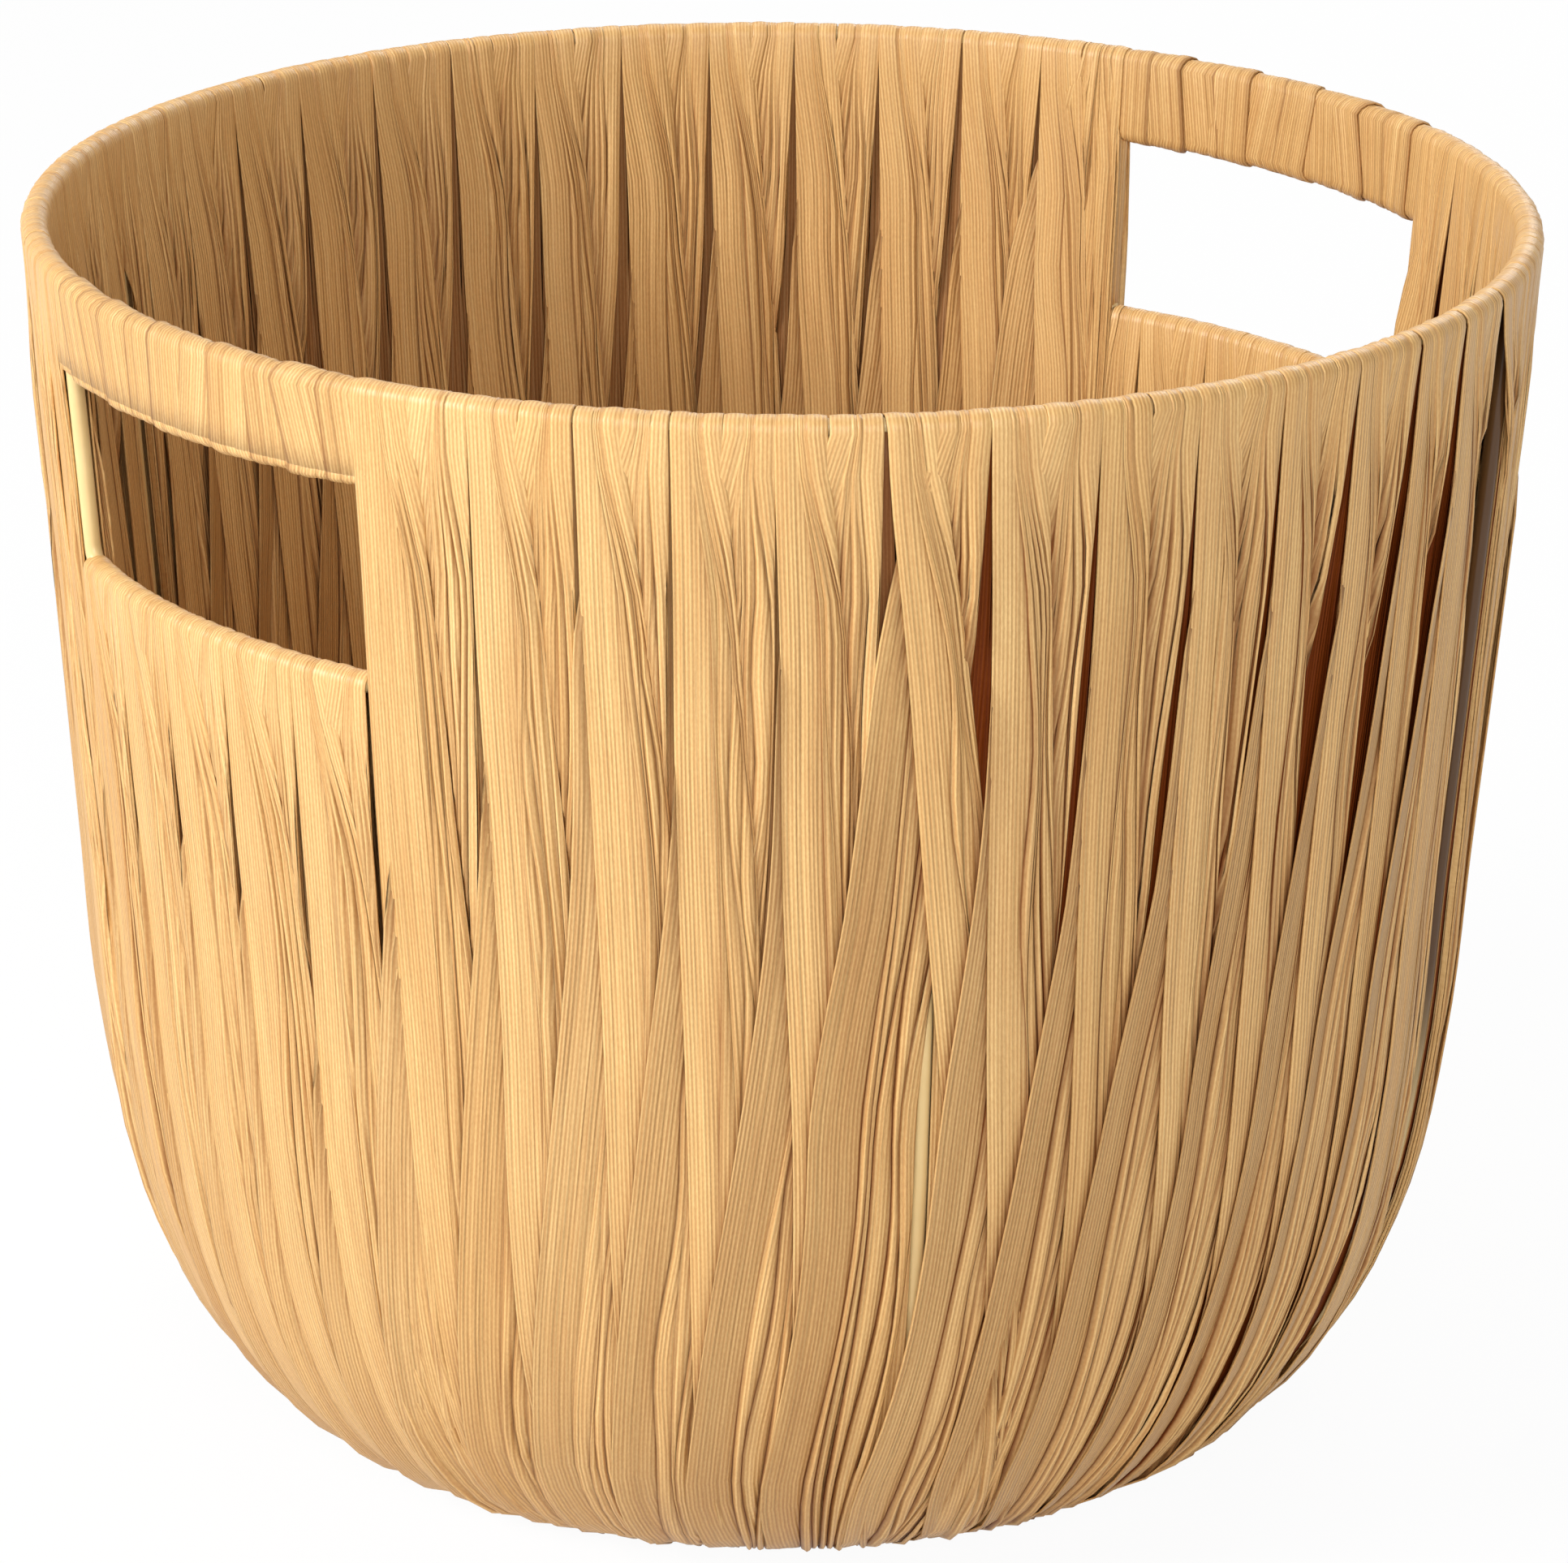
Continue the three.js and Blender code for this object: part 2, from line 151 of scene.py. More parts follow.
class Strips:
    """Closed thin strips gathered into one mesh. Its UV layer "strip" holds the place across and along a strip, and the
    second layer how much shade is painted on the ribbon and how taut it is."""

    OWN_LENGTH = 1000.0  # each strip has its own stretch of V, so that the material can tell strips apart
    OWN_LENGTHS = 97

    def __init__(self):
        self.verts, self.faces, self.uvs, self.shades, self.total = [], [], [], [], 0
        self.made = 0

    def add(self, rings, across, shade=None, taut=0.4):
        """Points as stations x corners x 3, in millimetres, how far each is across the strip, how much shade is painted
        on it and how taut it is drawn, both from 0 to 1."""
        n, m = rings.shape[:2]
        along = np.r_[0, np.cumsum(np.linalg.norm(np.diff(rings[:, 1], axis=0), axis=1))]
        self.made += 1
        v = np.repeat(along[:, None], m, 1) + self.OWN_LENGTH * (self.made % self.OWN_LENGTHS)
        i, j = np.meshgrid(np.arange(n - 1), np.arange(m), indexing="ij")
        a, b = i * m + j, i * m + (j + 1) % m
        quads = np.stack([a, b, b + m, a + m], axis=-1).reshape(-1, 4) + self.total
        self.faces += quads.tolist()
        self.faces.append((np.arange(m)[::-1] + self.total).tolist())
        self.faces.append((np.arange(m) + self.total + (n - 1) * m).tolist())
        self.verts.append(rings.reshape(-1, 3))
        self.uvs.append(np.stack([across, v], axis=-1).reshape(-1, 2))
        shade = np.zeros(across.shape) if shade is None else shade
        self.shades.append(np.stack([shade, 0 * shade + taut], axis=-1).reshape(-1, 2))
        self.total += n * m

    def mesh(self, name):
        verts = np.vstack(self.verts) * MM
        mesh = bpy.data.meshes.new(name)
        mesh.from_pydata(verts.tolist(), [], self.faces)
        index = np.zeros(len(mesh.loops), dtype=np.int32)
        mesh.loops.foreach_get("vertex_index", index)
        for layer_name, values in (("strip", np.vstack(self.uvs) * MM), ("painted_shade", np.vstack(self.shades))):
            layer = mesh.uv_layers.new(name=layer_name)
            layer.data.foreach_set("uv", values[index].astype(np.float32).ravel())
        return smoothed(mesh)


def smoothed(mesh):
    mesh.polygons.foreach_set("use_smooth", np.ones(len(mesh.polygons), dtype=bool))
    mesh.update()
    return mesh


strips_by_node = {}


def strips_for(node):
    return strips_by_node.setdefault(node, Strips())


def place(r, theta, z):
    return np.stack([r * np.cos(theta), r * np.sin(theta), z], axis=-1)


def off_wall(st, lift, angle):
    """Points at a lift off the stations, at an angle in radians."""
    return place(st.r + lift * np.cos(st.phi), angle, np.maximum(st.z + lift * np.sin(st.phi), ABOVE_GROUND))


PLAIN_COLUMNS = 4
PLAIN_TAUT = 0.25


def lay(strips, st, left, right, lift_left, lift_right, crown, edge_shade=0.0):
    """One plain strip along the stations: its edges as angles in radians, the lift of each edge, how far it bulges and
    how much shade is painted at its left edge, with less at its right edge and little between."""
    width = (right - left) * st.r
    edge = np.minimum(0.5, 0.2 * width) / np.maximum(width, 0.01)
    shares = [np.zeros_like(width), np.zeros_like(width)]
    shares += [edge + (1 - 2 * edge) * k / (PLAIN_COLUMNS - 1) for k in range(PLAIN_COLUMNS)]
    shares += [np.ones_like(width), np.ones_like(width)]
    corners, across, shades = [], [], []
    for k, share in enumerate(shares):
        lift = mix(lift_left, lift_right, share) + crown * (1 - (2 * share - 1) ** 2)
        if k in (0, len(shares) - 1):
            lift = lift - PAPER
        elif k in (1, len(shares) - 2):
            lift = lift - ROUNDED
        corners.append(off_wall(st, lift, left + (right - left) * share))
        across.append(share * width)
        shades.append(share * 0 + edge_shade * (1 if k < 3 else 0.6 if k > PLAIN_COLUMNS else 0.15))
    strips.add(np.stack(corners, axis=1), np.stack(across, axis=-1), np.stack(shades, axis=-1), PLAIN_TAUT)


# How a pleated sheet is cut into columns, and how it dives under a pass that lies over it
WIDE_COLUMNS, NARROW_COLUMNS = 9, 5
FOLD_EDGE, FOLD_EDGE_SHARE = 0.4, 0.16  # from a fold to the next column, at most and as a share of the pleat
FLAT_FROM, FLATTER = 4.0, 0.45  # wider pleats are flatter in the middle
FOLD_DARK, FACE_DARK = 0.45, 0.2  # how much of the shade painted at a fold is left beside it and out on the pleat
BELOW_COVER = 0.85
LEAST_LIFT = 2.1
DIVE = 0.6  # half the width over which a sheet dives
COVER_SHADE = 1.3  # how far the shade painted beside a cover's edge reaches
CORD_SHIFT = 7.3  # sets the cords of one pleat apart from those of the next
TAUT_DROP = 20.0  # the ribbon is drawn tight over the rim


def lay_sheet(strips, st, lines, lifts, crowns, skews, valleys, tones_and_shade, covers=()):
    """One pleated sheet along the stations: the lines that part its pleats as angles in degrees, its lift at each line,
    how far each pleat bulges and tilts, how much shade is painted in the fold at each line, how much each pleat is
    darkened all over by tone and painted shade, and the passes that lie over it: (their lines, their lifts, strength,
    how much shade is painted beside and under them)."""
    corners, under = [], []

    def corner(angle, lift, shade, j, both):
        # Shade is painted beside the edge of each pass that lies over this one, and in full under it
        for over, highs, strength, dark in covers:
            past = np.radians(np.maximum(over[0] - angle, angle - over[-1])) * st.r
            shade = np.maximum(shade, dark * np.exp(-np.maximum(past, 0) / COVER_SHADE))
            roof = highs[0]
            for e in range(len(over) - 1):
                t = np.clip((angle - over[e]) / (over[e + 1] - over[e]), 0, 1)
                roof = np.where(angle > over[e], mix(highs[e], highs[e + 1], t), roof)
            dived = np.maximum(np.minimum(lift, roof - BELOW_COVER), LEAST_LIFT)
            lift = mix(lift, dived, strength * smooth(DIVE, -DIVE, past))
        u = np.radians(angle - lines[j]) * st.r + CORD_SHIFT * j
        corners.append((off_wall(st, lift, np.radians(angle)), u, shade + 0 * angle))
        if both:
            under.append((off_wall(st, lift - PAPER, np.radians(angle)), u, 0 * angle))

    for j in range(len(lines) - 1):
        span = np.radians(lines[j + 1] - lines[j]) * st.r
        edge = np.minimum(FOLD_EDGE, FOLD_EDGE_SHARE * span) / span
        power = 2 + FLATTER * np.maximum(span - FLAT_FROM, 0)
        wide = j in (0, len(lines) - 2)
        inner = np.linspace(0, 1, WIDE_COLUMNS if wide else NARROW_COLUMNS)[1:-1]
        steps = [(0, 1.0, j), (edge, FOLD_DARK, j)]
        steps += [(t, FACE_DARK * abs(2 * t - 1), j + (t > 0.5)) for t in inner]
        steps += [(1 - edge, FOLD_DARK, j + 1), (1, 1.0, j + 1)]
        for t, near, line in steps:
            bulge = 1 - np.abs(2 * t - 1) ** power
            lift = mix(lifts[j], lifts[j + 1], t) + crowns[j] * bulge + skews[j] * (0.5 - t)
            angle = mix(lines[j], lines[j + 1], t)
            # Painted shade at the folds, or the pleat's darkening all over where that is more
            corner(angle, lift, np.maximum(near * valleys[line], tones_and_shade[j]), j, wide or near == 1.0)
    points, across, shades = zip(*(under[:1] + corners + under[:0:-1]))
    strips.add(np.stack(points, axis=1), np.stack(across, axis=-1), np.stack(shades, axis=-1),
               np.exp(-(st.drop / TAUT_DROP) ** 2)[:, None])


# Bare uprights part the passes on the face where they show, and the stiles bound them down to the lower rail
BARE = [(300.0, 0), (120.0, 1)]  # the angle, and the side it shows on: 0 outside, 1 inside
BARE_HALF = 2.4
BARE_REACH = 60
PAST_BARE = 5.0  # outside, a pass whose middle is less than this before the bare upright still goes past it
STILES = [(STILE_ANGLE, -0.85), (180 - STILE_ANGLE, 0.1), (180 + STILE_ANGLE, -0.85), (360 - STILE_ANGLE, 0.85)]
STILE_REACH = 40
STILE_SOFT = 0.2


def hold(angle, limit, sign, softness=0.5):
    """Keeps an angle on one side of a limit: sign -1 keeps it below, +1 above."""
    gap = sign * (angle - limit) / softness
    return limit + sign * softness * np.where(gap > 30, gap, np.log1p(np.exp(np.minimum(gap, 30))))


def bounded(angle, st, middle):
    """Holds a pass, whose middle at the rim is given, clear of bare uprights and stiles."""
    for bare, side in BARE:
        if abs(middle - bare) < BARE_REACH:
            sign = 1 if middle > bare - PAST_BARE * (side == 0) else -1
            half = BARE_HALF * smooth(14, 50, st.z) * smooth(290, 262, st.z)
            limit = bare + sign * np.degrees(half / st.r)
            shown = smooth(298, 244, st.z) * (st.side if side else 1 - st.side)
            angle = mix(angle, hold(angle, limit, sign), shown)
    for stile, shift in STILES:
        if abs(middle - stile) < STILE_REACH:
            sign = 1 if middle > stile else -1
            held = hold(angle, stile + shift, sign, STILE_SOFT)
            angle = mix(angle, held, smooth(120, 205, st.z))
    return angle


def wobble(drop, amount, waves):
    phase, wave = rng.uniform(0, 2 * math.pi), rng.uniform(*waves)
    return amount * np.sin(2 * math.pi * drop / wave + phase)


# A pass that leans against the winding slides late: (drops, shares of its whole slide), outside and inside
LATE = ([0, 47, 90, 115, 150, 200, 310], [0, 0.05, 0.13, 0.17, 0.3, 0.52, 1.0])
LATE_INSIDE = ([0, 60, 110, 200, 310], [0, 0.1, 0.24, 0.55, 1.0])
SOFTENED = np.linspace(-22, 22, 9)  # a slide given by pairs is averaged over these drops


def slid(lean, drop, kind):
    """How far a pass has slid round the basket, in degrees, by its kind or through given (drop, slide) pairs."""
    if isinstance(lean, (int, float)) and kind > 0:
        return lean * drop / WALL_LENGTH
    if isinstance(lean, (int, float)):
        return lean * np.interp(drop, *LATE)
    at, by = [p[0] for p in lean], [p[1] for p in lean]
    return np.mean([np.interp(np.maximum(drop + shift, 0), at, by) for shift in SOFTENED], axis=0)


def parted(first):
    """Where the pleats of a pass part, as shares of its width: the flat one, then uneven narrow ones."""
    rest = rng.uniform(0.5, 1.6, PLEATS - 1)
    return np.r_[0, first + (1 - first) * np.r_[0, np.cumsum(rest)] / rest.sum()]


# The shape of a pass. Kind -1 is the one that crosses below and comes out over its neighbour.
SPREAD_DROP = 165.0  # by this drop a pass has its full width
SOONER = 0.38  # share of that drop for kind -1
BROADER = 2.6  # how much wider kind -1 is lower down
FOOT_WIDTH = (15.5, 17)
RIM_LIFT = 3.15
LOW_LIFT, FLAT_LIFT = 2.5, 2.9
FOOT_LIFT, FOOT_STEP = 2.6, 0.3
TUCKED_LIFT, LEAST_PASS_LIFT = 2.3, 2.15
BARE_LIFT = 5.0  # beside the bare upright, which lies deep in its slit
BARE_FADE = 5.0
NARROWEST_PLEAT = 0.45
PLEAT_SIZE = 2.6  # wider pleats bulge no further than one of this width
CALM = [(18, 0.9), (160, 0.8), (198, 0.62), (226, 0.75), (238, 1.0), (342, 1.0)]  # how strong the painted shade is, and partly how far pleats bulge
CALM_INSIDE = 0.8


def plan_pass(st, kind, apex, half, lean_out, lean_in, width_out, width_in, spread=SPREAD_DROP, edge_side=1):
    """One pass of ribbon over the wall, gathered at the rim and spreading into a flat band with pleats beside it. The
    ribbon keeps its slant over the rim, so it leans one way outside and the other way inside. Kind 1 leans to greater
    angles outside, kind -1 to smaller ones, and kind 0 goes straight beside a stile."""
    against = kind < 0
    middle = apex + half / 2
    depth = st.drop / WALL_LENGTH
    level = 0 * depth
    spread = spread * rng.uniform(0.85, 1.15) * (SOONER if against else 1.0)
    grown = 1 - (1 - np.clip(st.drop / spread, 0, 1)) ** 1.7
    rim_width = math.radians(half) * st.r[np.argmax(st.z)]
    width = mix(rim_width, mix(width_out, width_in, st.side), grown)
    width = width + (BROADER if against else 0.0) * smooth(80, 170, st.drop)
    width = mix(width, np.minimum(width, rng.uniform(*FOOT_WIDTH)), smooth(0.84, 1.0, depth))
    bend = np.degrees(wobble(st.drop, 0.5, (130, 260)) * smooth(10, 80, st.drop) / st.r)
    slide = kind * mix(slid(lean_out, st.drop, kind), -lean_in * np.interp(st.drop, *LATE_INSIDE), st.side)
    over_rim = np.degrees((width - rim_width) / st.r)
    if kind > 0:
        left = apex + slide + bend - over_rim * st.side
    elif against:
        left = apex + slide + bend - over_rim * (1 - st.side)
    else:
        left = apex - over_rim * (0 if edge_side > 0 else 1)
    right = left + np.degrees(width / st.r)

    # The lifts across it: at the edge of the flat band, where the pleats begin, and at the far edge
    at_rim = parted(rng.uniform(0.66, 0.82))
    below = parted(rng.uniform(0.36, 0.46) if against else rng.uniform(0.42, 0.52))
    out_of = smooth(32, 90, st.drop + rng.uniform(-8, 8))
    if kind > 0:
        edge_lift, mid_lift, far_lift = mix(3.8, 3.7, out_of), mix(3.7, 3.9, out_of), LOW_LIFT + level
    elif against:
        edge_lift = mix(LOW_LIFT, 4.9, smooth(10, 55, st.drop))
        mid_lift, far_lift = 2.7 + level, mix(3.9, LOW_LIFT, smooth(50, 105, st.drop))
    else:
        edge_lift, mid_lift, far_lift = LOW_LIFT + level, FLAT_LIFT + level, FLAT_LIFT + level
        if edge_side < 0:
            edge_lift, far_lift = far_lift, edge_lift
    shares = [mix(at_rim[e], below[e], grown) for e in range(PLEATS + 1)]
    turned = 0.5 + (np.round(st.side) - 0.5) * smooth(2, 45, st.drop)
    highs = [edge_lift] + [mix(mid_lift, far_lift, (share - shares[1]) / (1 - shares[1])) for share in shares[1:]]
    swell = wobble(st.drop, 0.15, (200, 400)) * smooth(20, 80, st.drop)
    lines, lifts = [], []
    for e in range(PLEATS + 1):
        line = mix(left, right, mix(shares[e], 1 - shares[PLEATS - e], turned))
        if 0 < e < PLEATS:
            line = line + np.degrees(wobble(st.drop, 1.0, (60, 240)) * smooth(8, 60, st.drop) / st.r)
        line = bounded(line, st, middle)
        if lines:
            line = np.maximum(line, lines[-1] + np.degrees(NARROWEST_PLEAT / st.r))
        lines.append(line)
        lift = mix(highs[e], highs[PLEATS - e], st.side) + swell
        lift = mix(RIM_LIFT + rng.uniform(-0.12, 0.16), lift, smooth(2, 45, st.drop))
        at_foot = np.maximum(smooth(0.93, 1.0, depth), st.at_base)
        lift = mix(lift, FOOT_LIFT + (FOOT_STEP if against else 0), at_foot)
        for bare, side in BARE:
            if side == 0 and 0 <= bare - PAST_BARE - middle < 16:
                beside = np.exp(-np.maximum(np.radians(bare - line) * st.r - BARE_HALF, 0) / BARE_FADE)
                shown = smooth(20, 60, st.z) * smooth(290, 262, st.z) * (1 - st.side)
                lift = mix(lift, np.maximum(lift, BARE_LIFT), beside * shown)
        lift = np.where((st.side > 0.5) & (st.at_base > 0), TUCKED_LIFT, lift)
        lifts.append(np.maximum(lift, LEAST_PASS_LIFT))

    # Each pleat rises and fades by itself
    calm = mix(around(CALM, middle), CALM_INSIDE, st.side)
    crowns, skews, valleys = [], [], [level]
    for j in range(PLEATS):
        start, end = rng.uniform(20, 90), rng.uniform(120, 290)
        lasting = mix(1.0, rng.uniform(0.6, 1.1), smooth(start, end, st.drop))
        second = rng.uniform(0.1, 1.1) * np.exp(-((st.drop - rng.uniform(110, 290)) / rng.uniform(25, 60)) ** 2)
        much = (lasting + second + 0.6 * smooth(0.55, 0.9, depth)) * mix(0.35, 1, smooth(2, 30, st.drop))
        span = np.radians(lines[j + 1] - lines[j]) * st.r
        size = np.clip(span / PLEAT_SIZE, 0, 1) * PLEAT_SIZE / np.maximum(span, PLEAT_SIZE)
        crowns.append(rng.uniform(0.5, 1.4) * much * size * np.where(span > 6, 0.4, 1) * mix(0.6, 1, calm))
        skews.append(rng.uniform(-0.6, 0.8) * much * size * (1 - 2 * st.side))
        # How much shade is painted in the fold at each line
        painted_shade = np.clip((rng.uniform(0.3, 1.15) + (0.2 if against else 0)) * much, 0, 1)
        valleys.append(painted_shade * mix(0.5, 1, smooth(0, 30, st.drop)) * calm)
    valleys[-1] = level
    # The flat band of kind -1 is darker all over, partly as the ribbon's other face and partly as painted shade
    band = (rng.uniform(0.22, 0.38) if against else 0.0) * smooth(35, 95, st.drop) * calm
    tones_and_shade = [level] * PLEATS
    tones_and_shade[0], tones_and_shade[-1] = band * (1 - st.side), band * st.side
    return dict(parts=(lines, lifts, crowns, skews, valleys, tones_and_shade), kind=kind, st=st, calm=calm)


def lay_passes(plans):
    """Lays planned passes, given in order round the basket with the strips they go into. Outside each pass of kind 1
    lies over the one after it, which crosses below and comes out over the one before. Inside it is the mirror image."""
    for k, (strips, plan) in enumerate(plans):
        covers, st = [], plan["st"]
        fade = smooth(6, 30, st.drop) * (1 - st.at_base)
        for over, side in ((k + 3, 0), (k - 3, 1)) if plan["kind"] > 0 else ((k - 1, 0), (k + 1, 1)):
            if 0 <= over < len(plans):
                over_lines, over_lifts = plans[over][1]["parts"][:2]
                strength = fade * (st.side if side else 1 - st.side)
                # Shade painted beside and under the pass that lies over this one
                covers.append((over_lines, over_lifts, strength, 0.8 * plan["calm"] * strength))
        lay_sheet(strips, st, *plan["parts"], covers)


SLIT_LIFT = 2.2
SLIT_LAP = 2.4  # how far the deeper ribbon reaches behind each pass


def back_slit(strips, st, side, one, other, clear_of, dark):
    """The ribbon that lies deeper, behind the opening between two passes, darkened all over with painted shade. It
    leaves a wire clear that shows.
    """
    some, keep = st.of_face(side)
    one, other = one[keep], other[keep]
    mm = np.degrees(1 / some.r)
    left = np.minimum(one, other) - SLIT_LAP * mm
    right = np.maximum(one, other) + SLIT_LAP * mm
    if clear_of:
        # Lower down, where the wire shows, less shade is painted
        below = smooth(100, 140, some.drop)
        dark = mix(dark, 0.2, below)
        left = np.maximum(left, mix(left, clear_of[0], below))
        right = np.maximum(np.minimum(right, mix(right, clear_of[1], below)), left + mm)
    lines = [left, mix(left, right, 0.35), mix(left, right, 0.65), right]
    level, shade = 0 * left, dark + 0 * left
    lay_sheet(strips, some, lines, [SLIT_LIFT + level] * 4, [level] * 3, [level] * 3, [shade] * 4, [shade] * 3)


def kept_clear(kind, apex, half, width, lean, side):
    """Less lean where a bare upright is close on the side that the pass leans to."""
    if not isinstance(lean, (int, float)):
        return lean
    wide = math.degrees(width / 150.0)
    for bare in (at for at, shown in BARE if shown == side):
        room = (bare - wide - apex) if kind > 0 else (apex + half - wide - bare)
        if -7 < room < 40:
            lean = min(lean, max(-2.0, room * 0.85))
    return lean


def bare_between(angle, side):
    """Whether an opening at this angle is where a bare upright shows."""
    return any(abs(angle + (4 if side == 0 else 0) - at) < 4.5 for at, shown in BARE if shown == side)


RIBBON_SPANS = [("back_ribbon_1", 18, 60), ("back_ribbon_2", 60, 120), ("back_ribbon_3", 120, 162.3),
                ("front_ribbon_1", 197.7, 240), ("front_ribbon_2", 240, 300), ("front_ribbon_3", 300, 342.3)]


def node_at(angle):
    def away(span):
        return 0 if span[1] <= angle <= span[2] else min(abs(angle - span[1]), abs(angle - span[2]))

    return min(RIBBON_SPANS, key=away)[0]


# Where the passes part under the rim, with the end of the last pitch. Past a bare upright a pass bends clear of it.
BACK_APEXES = [18.4, 21.8, 29.3, 36.5, 44.0, 51.3, 59.0, 67.2, 74.8, 82.8, 90.6, 98.6, 106.1, 113.4, 120.7, 128.1,
               135.6, 143.1, 150.6, 158.3]
FRONT_APEXES = [198.3, 207.0, 214.5, 221.2, 228.3, 235.6, 243.1, 251.1, 258.6, 266.0, 273.5, 280.6, 287.2, 293.8,
                301.3, 308.9, 316.5, 324.1, 331.8, 339.5]

# By the angle round the basket: how wide passes of kind 1 spread outside, how far those of kind 1 and -1 slide from
# rim to base, and how much shade is painted on the deeper ribbon
SPREAD_OUT = [(18, 19), (60, 17), (120, 16), (162, 20), (198, 21), (226, 20), (236, 18), (250, 16.5), (292, 15.5),
              (304, 17), (342, 20)]
ALONG_OUT = [(18, 2), (60, 8), (75, 3), (112, 1), (125, 10), (140, 3), (162, 1), (198, 1.5), (214, 2.0), (221, 1.0),
             (228, 2.5), (235.6, 12), (243, 4.5), (251, 1.5), (266, 2), (273, -0.5), (281, -1), (287, 0.5), (301, 8),
             (310, 4), (342, 2)]
AGAINST_OUT = [(18, 7), (60, 9), (120, 10), (162, 6), (198, 6), (214, 7), (228, 8.5), (243, 10), (251, 9),
               (273, 10.5), (294, 11), (310, 8), (342, 6)]
SLIT_PAINTED_SHADE = [(18, 0.75), (100, 0.75), (160, 0.45), (198, 0.45), (226, 0.6), (240, 1.0), (342, 1.0)]

# At the front left the passes of kind -1 slide late, in degrees, and at the front right early, in shares of the slide,
# where they are narrower too
LATE_FROM, LATE_TO = 198, 230
LATE_SLIDES = [(0, 0), (60, 0.1), (110, 0.5), (160, 1.6)]
EARLY_FROM = 262
EARLY_SHARES = [(0, 0), (35, 0.15), (50, 0.22), (110, 0.37), (200, 0.58), (310, 1)]
NARROWER = 4.4
LAST_DROP = 310

# Passes that take a way of their own: by the bare upright and past it, and by the upright that shows in one slit
OWN_SLIDE = {(287.2, 1): [(0, 0), (60, 0.8), (310, 1.5)],
             (293.8, 1): [(0, 0), (14, 1.4), (30, 3.4), (60, 5.0), (100, 5.8), (150, 7.2), (310, 12.0)],
             (235.6, 1): [(0, 0), (150, 5.5), (200, 7.0), (310, 9.0)],
             (235.6, -1): [(0, 0), (60, 1.0), (128, 2.4), (148, 4.0), (205, 4.2), (310, 8.5)],
             (243.1, -1): [(0, 0), (100, 1.2), (147, 1.7), (202, 3.1), (310, 9.5)]}
OWN_WIDTH = {(287.2, 1): 19.5}
CLEAR_OF = {243.1: (240.6, 260.0), 235.6: (220.0, 239.4)}  # the deeper ribbon keeps between these where that one shows
HALF_PITCH = 3.75


def wall_passes(apexes):
    """A pair of passes between neighbouring apexes. Deeper ribbons lie behind the openings, which are at the apexes
    outside and between them inside."""
    plans = []
    for apex, following in zip(apexes, apexes[1:]):
        half = (following - apex) / 2
        for kind in (1, -1):
            start = apex + (0 if kind > 0 else half)
            middle = start + (following - apex) / 4
            w_out = around(SPREAD_OUT, middle) - 1.5 + rng.uniform(-1, 1) if kind > 0 else rng.uniform(20.0, 21.2)
            w_in = rng.uniform(16.5, 18.5) if kind > 0 else rng.uniform(19.2, 20.6)
            lean = around(ALONG_OUT if kind > 0 else AGAINST_OUT, apex) + rng.uniform(-0.8, 0.8)
            if kind < 0 and LATE_FROM <= apex < LATE_TO:
                lean = LATE_SLIDES + [(LAST_DROP, lean)]
            elif kind < 0 and apex > EARLY_FROM:
                lean = kept_clear(kind, start, half, w_out, lean, 0)
                lean = [(drop, share * lean) for drop, share in EARLY_SHARES]
                w_out -= NARROWER
            w_out = OWN_WIDTH.get((apex, kind), w_out)
            lean = OWN_SLIDE.get((apex, kind), lean)
            lean = kept_clear(kind, start, half, w_out, lean, 0)
            lean_in = rng.uniform(4, 7) if kind > 0 else rng.uniform(7, 10)
            lean_in = kept_clear(-kind, start, half, w_in, lean_in, 1)
            plan = plan_pass(wall_stations, kind, start + rng.uniform(-0.1, 0.1), half, lean, lean_in, w_out, w_in)
            plans.append((strips_for(node_at(middle)), plan))
    lay_passes(plans)
    for k, (strips, plan) in enumerate(plans[1:], 1):
        side = 0 if plan["kind"] > 0 else 1
        at = apexes[k // 2] + HALF_PITCH * side
        if not bare_between(at, side):
            back_slit(strips, wall_stations, side, plans[k - 1][1]["parts"][0][-1], plan["parts"][0][0],
                      CLEAR_OF.get(at), around(SLIT_PAINTED_SHADE, at))


wall_stations = Stations(WALL_LENGTH)
wall_passes(BACK_APEXES)
wall_passes(FRONT_APEXES)

# A straight pass beside each stile, which covers it, except the one that is left bare
EDGE_HALF, EDGE_WIDTH, EDGE_SPREAD = 3.6, 12.5, 90.0
EDGE_PAST = 0.75  # how far it goes past the stile's middle, in degrees
for edge, way in ((STILE_ANGLE - EDGE_PAST, 1), (180 - STILE_ANGLE + 0.1, -1),
                  (180 + STILE_ANGLE - EDGE_PAST, 1), (360 - STILE_ANGLE + EDGE_PAST, -1)):
    plan = plan_pass(wall_stations, 0, edge if way > 0 else edge - EDGE_HALF, EDGE_HALF, 0, 0, EDGE_WIDTH, EDGE_WIDTH,
                     EDGE_SPREAD, way)
    lay_passes([(strips_for(node_at(edge)), plan)])

# The ribbon's edge folded round the three covered stiles
FOLD_OUTER, FOLD_INNER = 2.75, 2.3
for node, stile, way in (("back_ribbon_1", STILE_ANGLE, -1), ("front_ribbon_1", 180 + STILE_ANGLE, -1),
                         ("front_ribbon_3", 360 - STILE_ANGLE, 1)):
    heights = np.linspace(229, 279, 9)
    spins = np.radians(np.linspace(-185, 5, 9) if way < 0 else np.linspace(-5, 185, 9))
    rings = []
    for radius, turns in ((FOLD_OUTER, spins), (FOLD_INNER, spins[::-1])):
        for spin in turns:
            r = np.array([radius_at(h) for h in heights]) + radius * math.cos(spin)
            rings.append(place(r, math.radians(stile) + radius * math.sin(spin) / r, heights))
    across = np.r_[spins, spins[::-1]] * FOLD_OUTER
    strips_for(node).add(np.stack(rings, axis=1), np.repeat(across[None, :], len(heights), 0))

